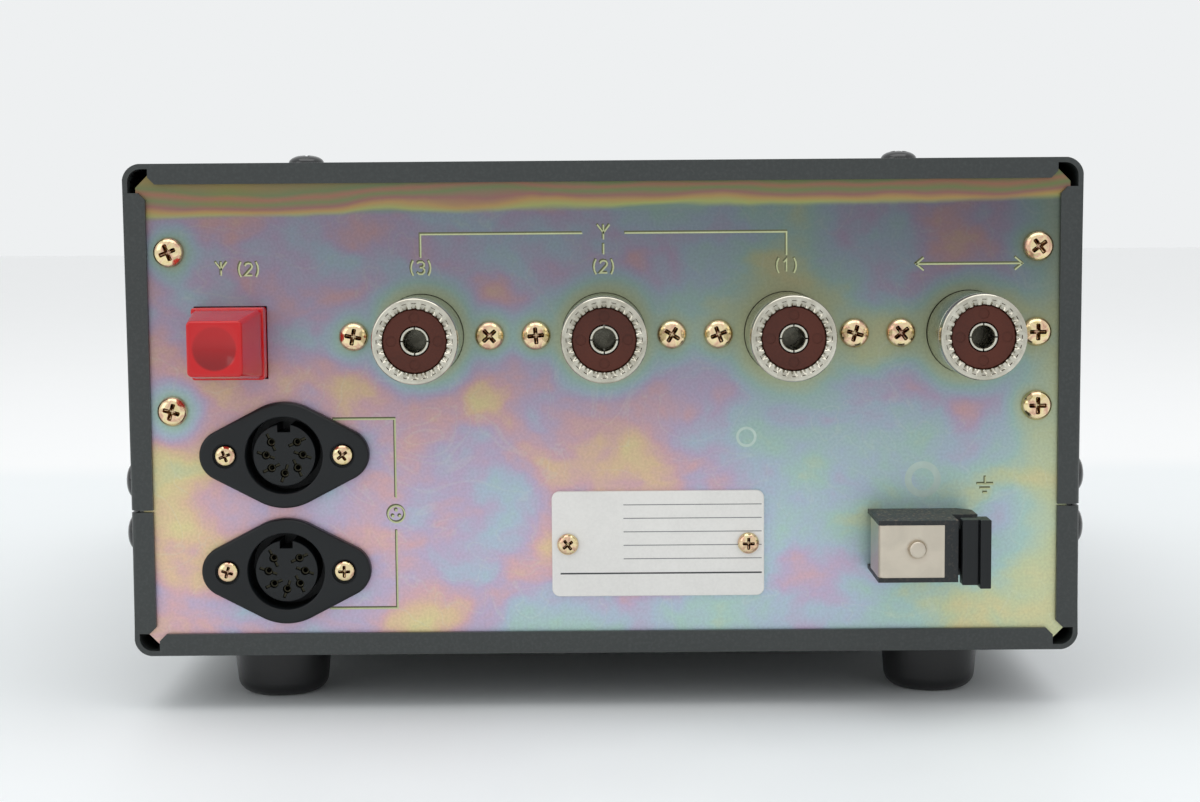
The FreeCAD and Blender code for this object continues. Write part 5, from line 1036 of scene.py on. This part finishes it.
def add_sheet(bm, path, low, high, steps, thickness, relief):
    """A bent strip. path gives (x, y, normal x, normal y) along it; relief(x, z) sinks it."""
    rows = []
    for x, y, nx, ny in path:
        row = []
        for i in range(steps + 1):
            z = low + (high - low) * i / steps
            sink = relief(x, z) if ny > 0.99 else 0
            row.append((x - nx * sink, y - ny * sink, z, nx, ny))
        rows.append(row)
    outer, inner = ([[bm.verts.new((x - nx * deep, y - ny * deep, z)) for x, y, z, nx, ny in row]
                     for row in rows] for deep in (0, thickness))
    for a, b in zip(range(len(rows) - 1), range(1, len(rows))):
        for i in range(steps):
            bm.faces.new((outer[a][i], outer[b][i], outer[b][i + 1], outer[a][i + 1]))
            bm.faces.new((inner[a][i], inner[a][i + 1], inner[b][i + 1], inner[b][i]))
        for i in (0, steps):
            bm.faces.new((outer[a][i], outer[b][i], inner[b][i], inner[a][i]))
    for a in (0, -1):
        for i in range(steps):
            bm.faces.new((outer[a][i], outer[a][i + 1], inner[a][i + 1], inner[a][i]))


def ground_terminal():
    """The clamp's folded nickel plate with a dimple and a rivet, its body and its lever."""
    low, high = box_mm("ground_terminal_plate")
    stud = middle_of("ground_terminal_stud")
    bend_x, bend_y = high.x - PLATE_BEND, high.y - PLATE_BEND
    path = [(low.x + (bend_x - low.x) * i / FACE_STEPS, high.y, 0, 1) for i in range(FACE_STEPS + 1)]
    for i in range(1, BEND_STEPS + 1):
        angle = math.pi / 2 * i / BEND_STEPS
        sin, cos = math.sin(angle), math.cos(angle)
        path.append((bend_x + PLATE_BEND * sin, bend_y + PLATE_BEND * cos, sin, cos))
    path.append((high.x, low.y, 1, 0))

    def relief(x, z):
        away = math.hypot(x - stud.x, z - stud.z)
        if away > HOLLOW_RADIUS:
            return 0
        return HOLLOW_DEPTH * math.cos(math.pi / 2 * away / HOLLOW_RADIUS) ** 1.5

    bm = bmesh.new()
    add_sheet(bm, path, low.z, high.z, HEIGHT_STEPS, PLATE_THICKNESS, relief)
    piece("folded_ground_plate", bm, "terminal_nickel", ["ground_terminal_plate"], bevel=0.1)
    rivet = bmesh.new()
    radius = half_size("ground_terminal_stud")[2]
    matrix = facing("+y", (stud.x, box_mm("ground_terminal_stud")[1].y - 0.1, stud.z))
    dome = [(radius * math.cos(a), RIVET_DOME * math.sin(a)) for a in map(math.radians, RIVET_ANGLES)]
    add_turned(rivet, matrix, [(radius, -2.0), (radius, -0.25)] + dome, 48)
    piece("domed_ground_rivet", rivet, "terminal_nickel", ["ground_terminal_stud"])
    refined("ground_terminal_moulding", "ground_terminal_body", "black_plastic", 0.3, 3,
            "speckled_black")
    refined("ground_lever_moulding", "ground_lever", "black_plastic", 0.45, 3)


ground_terminal()


# ---- marks on the socket panel: only lines, digits and common symbols ----

DIGITS = {
    "1": [[(0.08, 0.76), (0.3, 1), (0.3, 0)]],
    "2": [[(0, 0.78), (0.1, 0.95), (0.3, 1), (0.5, 0.95), (0.6, 0.76), (0.54, 0.58), (0, 0), (0.6, 0)]],
    "3": [[(0, 0.88), (0.16, 1), (0.42, 1), (0.58, 0.86), (0.58, 0.66), (0.42, 0.54), (0.22, 0.54)],
          [(0.42, 0.54), (0.6, 0.38), (0.6, 0.16), (0.42, 0), (0.16, 0), (0, 0.14)]],
}
ANTENNA = [[(0, 0), (0, 1)], [(-0.42, 1), (0, 0.45), (0.42, 1)]]
EARTH = [[(0, 1), (0, 0.55)], [(-0.5, 0.55), (0.5, 0.55)], [(-0.32, 0.28), (0.32, 0.28)],
         [(-0.14, 0.02), (0.14, 0.02)]]
BRACKETS = [[(-0.32, 1.12), (-0.46, 0.8), (-0.5, 0.5), (-0.46, 0.2), (-0.32, -0.12)],
            [(0.92, 1.12), (1.06, 0.8), (1.1, 0.5), (1.06, 0.2), (0.92, -0.12)]]
BOTH_WAYS = [[(-4.2, 0.5), (4.2, 0.5)], [(-3.6, 1), (-4.2, 0.5), (-3.6, 0)],
             [(3.6, 1), (4.2, 0.5), (3.6, 0)]]


def placed(strokes, x, y, size, shift=0.0):
    """Strokes of a sign moved to a place on a face and scaled to a height."""
    return [[(x + (px + shift) * size, y + py * size) for px, py in stroke] for stroke in strokes]


def draw(bm, matrix, strokes, width, height):
    """Ribbons along strokes. A stroke whose ends meet is closed."""
    for stroke in strokes:
        closed = stroke[0] == stroke[-1]
        add_ribbon(bm, matrix, stroke[:-1] if closed else stroke, width, height, closed)


def ring(x, y, radius, count=32):
    points = [(x + dx, y + dy) for dx, dy in circle(radius, count)]
    return points + points[:1]


def numbered(digit, x, y, size):
    """A digit between brackets, centred on x."""
    return placed(DIGITS[digit] + BRACKETS, x, y, size, shift=-0.3)


# Places on the socket panel: to the right of its middle, above its underside.
SIGN_ROW, DIGIT_SIZE = 72.9, 2.3
LINE_ENDS, LINE_GAP = (76.0, 80.4), 4.0
STALK = (76.4, 78.4)
PLUG_X, PLUG_HEIGHT, PLUG_GAP, PLUG_RADIUS, PLUG_HOLES, PLUG_HOLE = -40.0, 27.1, 3.1, 1.6, 0.75, 0.14
UPPER_LINE, LOWER_LINE = (-51.8, 6.7), (-53.0, -7.5)
EARTH_PLACE = (72.6, 30.3, 3.2)
WELD_RINGS = ((60.7, 33.0, 2.8, 1.3), (27.0, 41.4, 1.7, 0.5))
# Name, width, height and shift of the two edges of each groove: a painted shadow on the dark edge and a painted
# highlight on the light edge.
GROOVE_EDGES = (("dark", 0.46, 0.02, (-0.07, 0.12)), ("light", 0.28, 0.04, (0.05, -0.08)))


def socket_strokes():
    """The numbers over the antenna sockets, the line that joins them, and the radio's arrow."""
    across = {node: -middle_of(node).x for node in SOCKET_NODES}
    radio = across.pop("radio_socket_shell")
    left, centre, right = sorted(across.values())
    strokes = []
    for value, digit in zip((left, centre, right), "321"):
        strokes += numbered(digit, value, SIGN_ROW, DIGIT_SIZE)
    low, high = LINE_ENDS
    for edge, side in ((left, -1), (right, 1)):
        strokes.append([(edge, low), (edge, high), (centre + side * LINE_GAP, high)])
    strokes.append([(centre, height) for height in STALK])
    strokes += placed(ANTENNA, centre, high - 1.2, 2.8)
    return strokes + placed(BOTH_WAYS, radio, SIGN_ROW, 2.4)


def accessory_strokes():
    """The line that joins the two accessory sockets round a plug sign."""
    upper, lower = (middle_of(which + "_accessory_socket").z - CASE_LOW for which in ("upper", "lower"))
    strokes = []
    for (start, rise), socket, gap in ((UPPER_LINE, upper, PLUG_GAP), (LOWER_LINE, lower, -PLUG_GAP)):
        height = socket + rise
        strokes.append([(start, height), (PLUG_X, height), (PLUG_X, PLUG_HEIGHT + gap)])
    strokes.append(ring(PLUG_X, PLUG_HEIGHT, PLUG_RADIUS))
    for x, y in circle(PLUG_HOLES, 3, math.pi / 2):
        strokes.append(ring(PLUG_X + x, PLUG_HEIGHT + y, PLUG_HOLE, 10))
    return strokes


def panel_strokes():
    """All the panel's lines and signs."""
    button = -middle_of("bypass_button").x
    strokes = socket_strokes()
    strokes += placed(ANTENNA, button - 1.6, SIGN_ROW, 2.6)
    strokes += numbered("2", button + 3.6, SIGN_ROW, DIGIT_SIZE)
    return strokes + accessory_strokes() + placed(EARTH, *EARTH_PLACE)


def panel_marks():
    """Engraved marks: each groove has a painted shadow on its upper side and a painted highlight on its lower
    side.
    """
    matrix = facing("+y", (0, PANEL_FACE, CASE_LOW))
    strokes = panel_strokes()
    for name, width, height, shift in GROOVE_EDGES:
        bm = bmesh.new()
        draw(bm, matrix @ Matrix.Translation((*shift, 0)), strokes, width, height)
        mark(f"{name}_painted_groove_edge_marks", bm, "chromated_steel", "groove_painted_" + name)
    weld = bmesh.new()
    for x, y, radius, width in WELD_RINGS:
        draw(weld, matrix, [ring(x, y, radius, 64)], width, 0.015)
    mark("spot_weld_rings", weld, "chromated_steel", "weld_mark")


panel_marks()


# ---- front panel and its controls ----

KNOB_GRIP, SKIRT_HEIGHT = 11.5, 4.0
FLUTES, FLUTE_POINTS, FLUTE_DEPTH, FLUTED_ROWS = 32, 8, 0.45, range(6, 9)
FACE_SINK, WHITE_PROUD = 1.0, 0.05
TICK, DIGIT_REACH, KNOB_DIGIT, KNOB_TURN = (16.4, 18.4), 21.2, 2.4, 45
BUTTON_SIGN_RISE, BUTTON_SIGN = 8.6, 1.5
METER_BORDER = 1.2
SCALE_RADIUS, INNER_RADIUS, SCALE_HALF = 27.0, 22.0, math.radians(50)
SCALE_STEPS, SCALE_TICKS, LONG_EVERY, LONG_TICK, SHORT_TICK = 48, 10, 5, 30.0, 28.8
SCALE_LINE, SCALE_PROUD = 0.3, 0.03


def front_panel():
    refined("moulded_front", "front_panel", "front_plastic", 0.35, 3)
    for which in ("power", "tune"):
        refined(which + "_button_cap", which + "_button", "button_plastic", 0.5, 3)
    refined("meter_housing", "meter_case", "switch_plastic", 0.2)


def selector_knob():
    """A fluted knob with a skirt and a white pointer line."""
    low, high = box_mm("selector_knob")
    centre = middle_of("selector_knob")
    matrix = facing("-y", (centre.x, high.y, centre.z))
    skirt, length = (high.x - low.x) / 2, high.y - low.y
    grip, step = KNOB_GRIP, SKIRT_HEIGHT
    profile = [(skirt - 0.2, 0), (skirt, 0.3), (skirt, step - 0.6), (skirt - 0.5, step - 0.1),
               (skirt - 1.2, step), (grip + 0.3, step + 0.1), (grip, step + 0.5),
               (grip - 0.25, length - 0.9), (grip - 0.6, length - 0.3), (grip - 1.2, length),
               (grip - 2.2, length), (grip - 2.5, length - 0.3), (0.4, length - 0.3)]
    rings = []
    for row, (radius, z) in enumerate(profile):
        depth = FLUTE_DEPTH if row in FLUTED_ROWS else 0
        points = []
        for i, (x, y) in enumerate(circle(radius, FLUTES * FLUTE_POINTS)):
            share = 1 - depth * abs(math.sin(math.pi * i / FLUTE_POINTS)) / radius
            points.append((x * share, y * share, z))
        rings.append(points)
    bm = bmesh.new()
    skin(bm, matrix, rings)
    piece("fluted_selector_knob", bm, "front_plastic", ["selector_knob"])
    pointer = bmesh.new()
    add_block(pointer, matrix @ Matrix.Translation((0, 0, length - 0.32)),
              (-0.5, 3.0, 0), (0.5, grip - 2.7, 0.12))
    add_block(pointer, matrix @ Matrix.Translation((0, 0, step - 0.05)),
              (-0.45, grip + 0.7, 0), (0.45, skirt - 1.3, 0.15))
    mark("selector_pointer", pointer, "front_plastic", "printed_white", BODY_OF["selector_knob"])


def knob_strokes():
    """A tick and a digit for each of the selector's positions."""
    knob = middle_of("selector_knob")
    height = knob.z - CASE_LOW
    ticks, digits = [], []
    for index, digit in enumerate("123"):
        angle = math.radians(90 - KNOB_TURN * index)
        cos, sin = math.cos(angle), math.sin(angle)
        ticks.append([(knob.x + reach * cos, height + reach * sin) for reach in TICK])
        digits += placed(DIGITS[digit], knob.x + DIGIT_REACH * cos,
                         height + DIGIT_REACH * sin - KNOB_DIGIT / 2, KNOB_DIGIT, shift=-0.3)
    return ticks, digits


def button_strokes():
    """The power sign over one button and the tuning sign over the other."""
    power, tune = ((middle_of(node).x, middle_of(node).z - CASE_LOW + BUTTON_SIGN_RISE)
                   for node in ("power_button", "tune_button"))
    broken_ring = placed([circle(BUTTON_SIGN, 24, math.pi / 2)[3:22]], *power, 1)
    stroke = placed([[(0, 0.2), (0, 2.0)]], *power, 1)
    crossed = placed([[(-2.4, 0), (2.4, 0)]], *tune, 1)
    return broken_ring + stroke + [ring(*tune, BUTTON_SIGN, 24)] + crossed


def front_marks():
    """White marks on the moulded front: switch positions, button signs and the meter's border."""
    matrix = facing("-y", (0, box_mm("front_panel")[0].y + FACE_SINK, CASE_LOW))
    ticks, digits = knob_strokes()
    low, high = box_mm("meter_case")
    left, right = low.x - METER_BORDER, high.x + METER_BORDER
    under, over = low.z - CASE_LOW - METER_BORDER, high.z - CASE_LOW + METER_BORDER
    border = [(left, under), (right, under), (right, over), (left, over), (left, under)]
    bm = bmesh.new()
    for strokes, width in ((ticks, 0.5), (digits + button_strokes(), 0.35), ([border], 0.4)):
        draw(bm, matrix, strokes, width, WHITE_PROUD)
    mark("front_panel_marks", bm, "front_plastic", "printed_white")


def meter_scale():
    """An arc with eleven ticks on the dial and a thinner one within it, round the needle's pivot."""
    needle_joint = next(j for j in frame["joints"] if j["child"] == "meter_needle")
    pivot = Vector(needle_joint["pos_m"]) / MM
    matrix = facing("-y", (pivot.x, box_mm("meter_dial")[0].y, pivot.z))
    bm = bmesh.new()

    def at(radius, share):
        """A point that far along the arc, from 0 at its left end to 1 at its right."""
        angle = -SCALE_HALF + 2 * SCALE_HALF * share
        return radius * math.sin(angle), radius * math.cos(angle)

    for radius, width in ((SCALE_RADIUS, SCALE_LINE), (INNER_RADIUS, 0.2)):
        arc = [at(radius, i / SCALE_STEPS) for i in range(SCALE_STEPS + 1)]
        add_ribbon(bm, matrix, arc, width, SCALE_PROUD)
    for index in range(SCALE_TICKS + 1):
        end = SHORT_TICK if index % LONG_EVERY else LONG_TICK
        tick = [at(radius, index / SCALE_TICKS) for radius in (SCALE_RADIUS, end)]
        add_ribbon(bm, matrix, tick, SCALE_LINE, SCALE_PROUD)
    mark("meter_scale", bm, "dial_card", "printed_dark")


front_panel()
selector_knob()
front_marks()
meter_scale()


# ---- stage ----

FLOOR_SIZE = 4.0
FAR_FROM, FAR_TO = -225, -290


def floor_finish():
    """Pale, and a little brighter in the part that lies far behind the object."""
    finish = Finish("floor")
    far = finish.remap(finish.along("Y"), FAR_TO, FAR_FROM, 1, 0)
    return finish.done(finish.mix(far, srgb(239, 242, 243), srgb(247, 247, 247)),
                       finish.uneven(finish.noise(40, 2.0), 0.5, 0.6))


def floor():
    bm = bmesh.new()
    bmesh.ops.create_grid(bm, x_segments=1, y_segments=1, size=FLOOR_SIZE)
    mesh = bpy.data.meshes.new("floor")
    bm.to_mesh(mesh)
    bm.free()
    mesh.materials.append(floor_finish())
    thing = bpy.data.objects.new("floor", mesh)
    bpy.context.scene.collection.objects.link(thing)


def area_light(name, at, target, size, power):
    """A rectangular light, aimed at a target. Places and sizes are in metres."""
    data = bpy.data.lights.new(name, "AREA")
    data.shape = "RECTANGLE"
    data.size, data.size_y = size
    data.energy = power
    thing = bpy.data.objects.new(name, data)
    thing.location = at
    thing.rotation_euler = (Vector(target) - Vector(at)).to_track_quat("-Z", "Y").to_euler()
    bpy.context.scene.collection.objects.link(thing)


def lights():
    area_light("overhead_softbox", (0.0, 0.25, 1.1), (0, 0.05, 0.05), (1.2, 0.9), 4)
    area_light("left_fill", (0.9, 0.8, 0.55), (0, 0.1, 0.05), (0.6, 0.6), 1)
    world = bpy.data.worlds.new("studio")
    world.use_nodes = True
    background = world.node_tree.nodes["Background"].inputs
    background["Color"].default_value = srgb(238, 240, 241)
    background["Strength"].default_value = 1.0
    bpy.context.scene.world = world
    bpy.context.scene.view_settings.view_transform = "Standard"


CAMERA_PLACE = (0.85, 518.5, 96.3)
CAMERA_DOWN = math.radians(5.26)
CAMERA_ROLL = math.radians(0.44)
CAMERA_LENS = 63.3
CAMERA_SENSOR = 36.0


def camera():
    data = bpy.data.cameras.new("camera")
    data.lens = CAMERA_LENS
    data.sensor_width = CAMERA_SENSOR
    data.sensor_fit = "HORIZONTAL"
    data.clip_start = 0.01
    thing = bpy.data.objects.new("camera", data)
    aim = facing("+y", Vector(CAMERA_PLACE) * MM)
    thing.matrix_world = (aim @ Matrix.Rotation(-CAMERA_DOWN, 4, "X")
                          @ Matrix.Rotation(-CAMERA_ROLL, 4, "Z"))
    bpy.context.scene.collection.objects.link(thing)
    bpy.context.scene.camera = thing


floor()
lights()
camera()
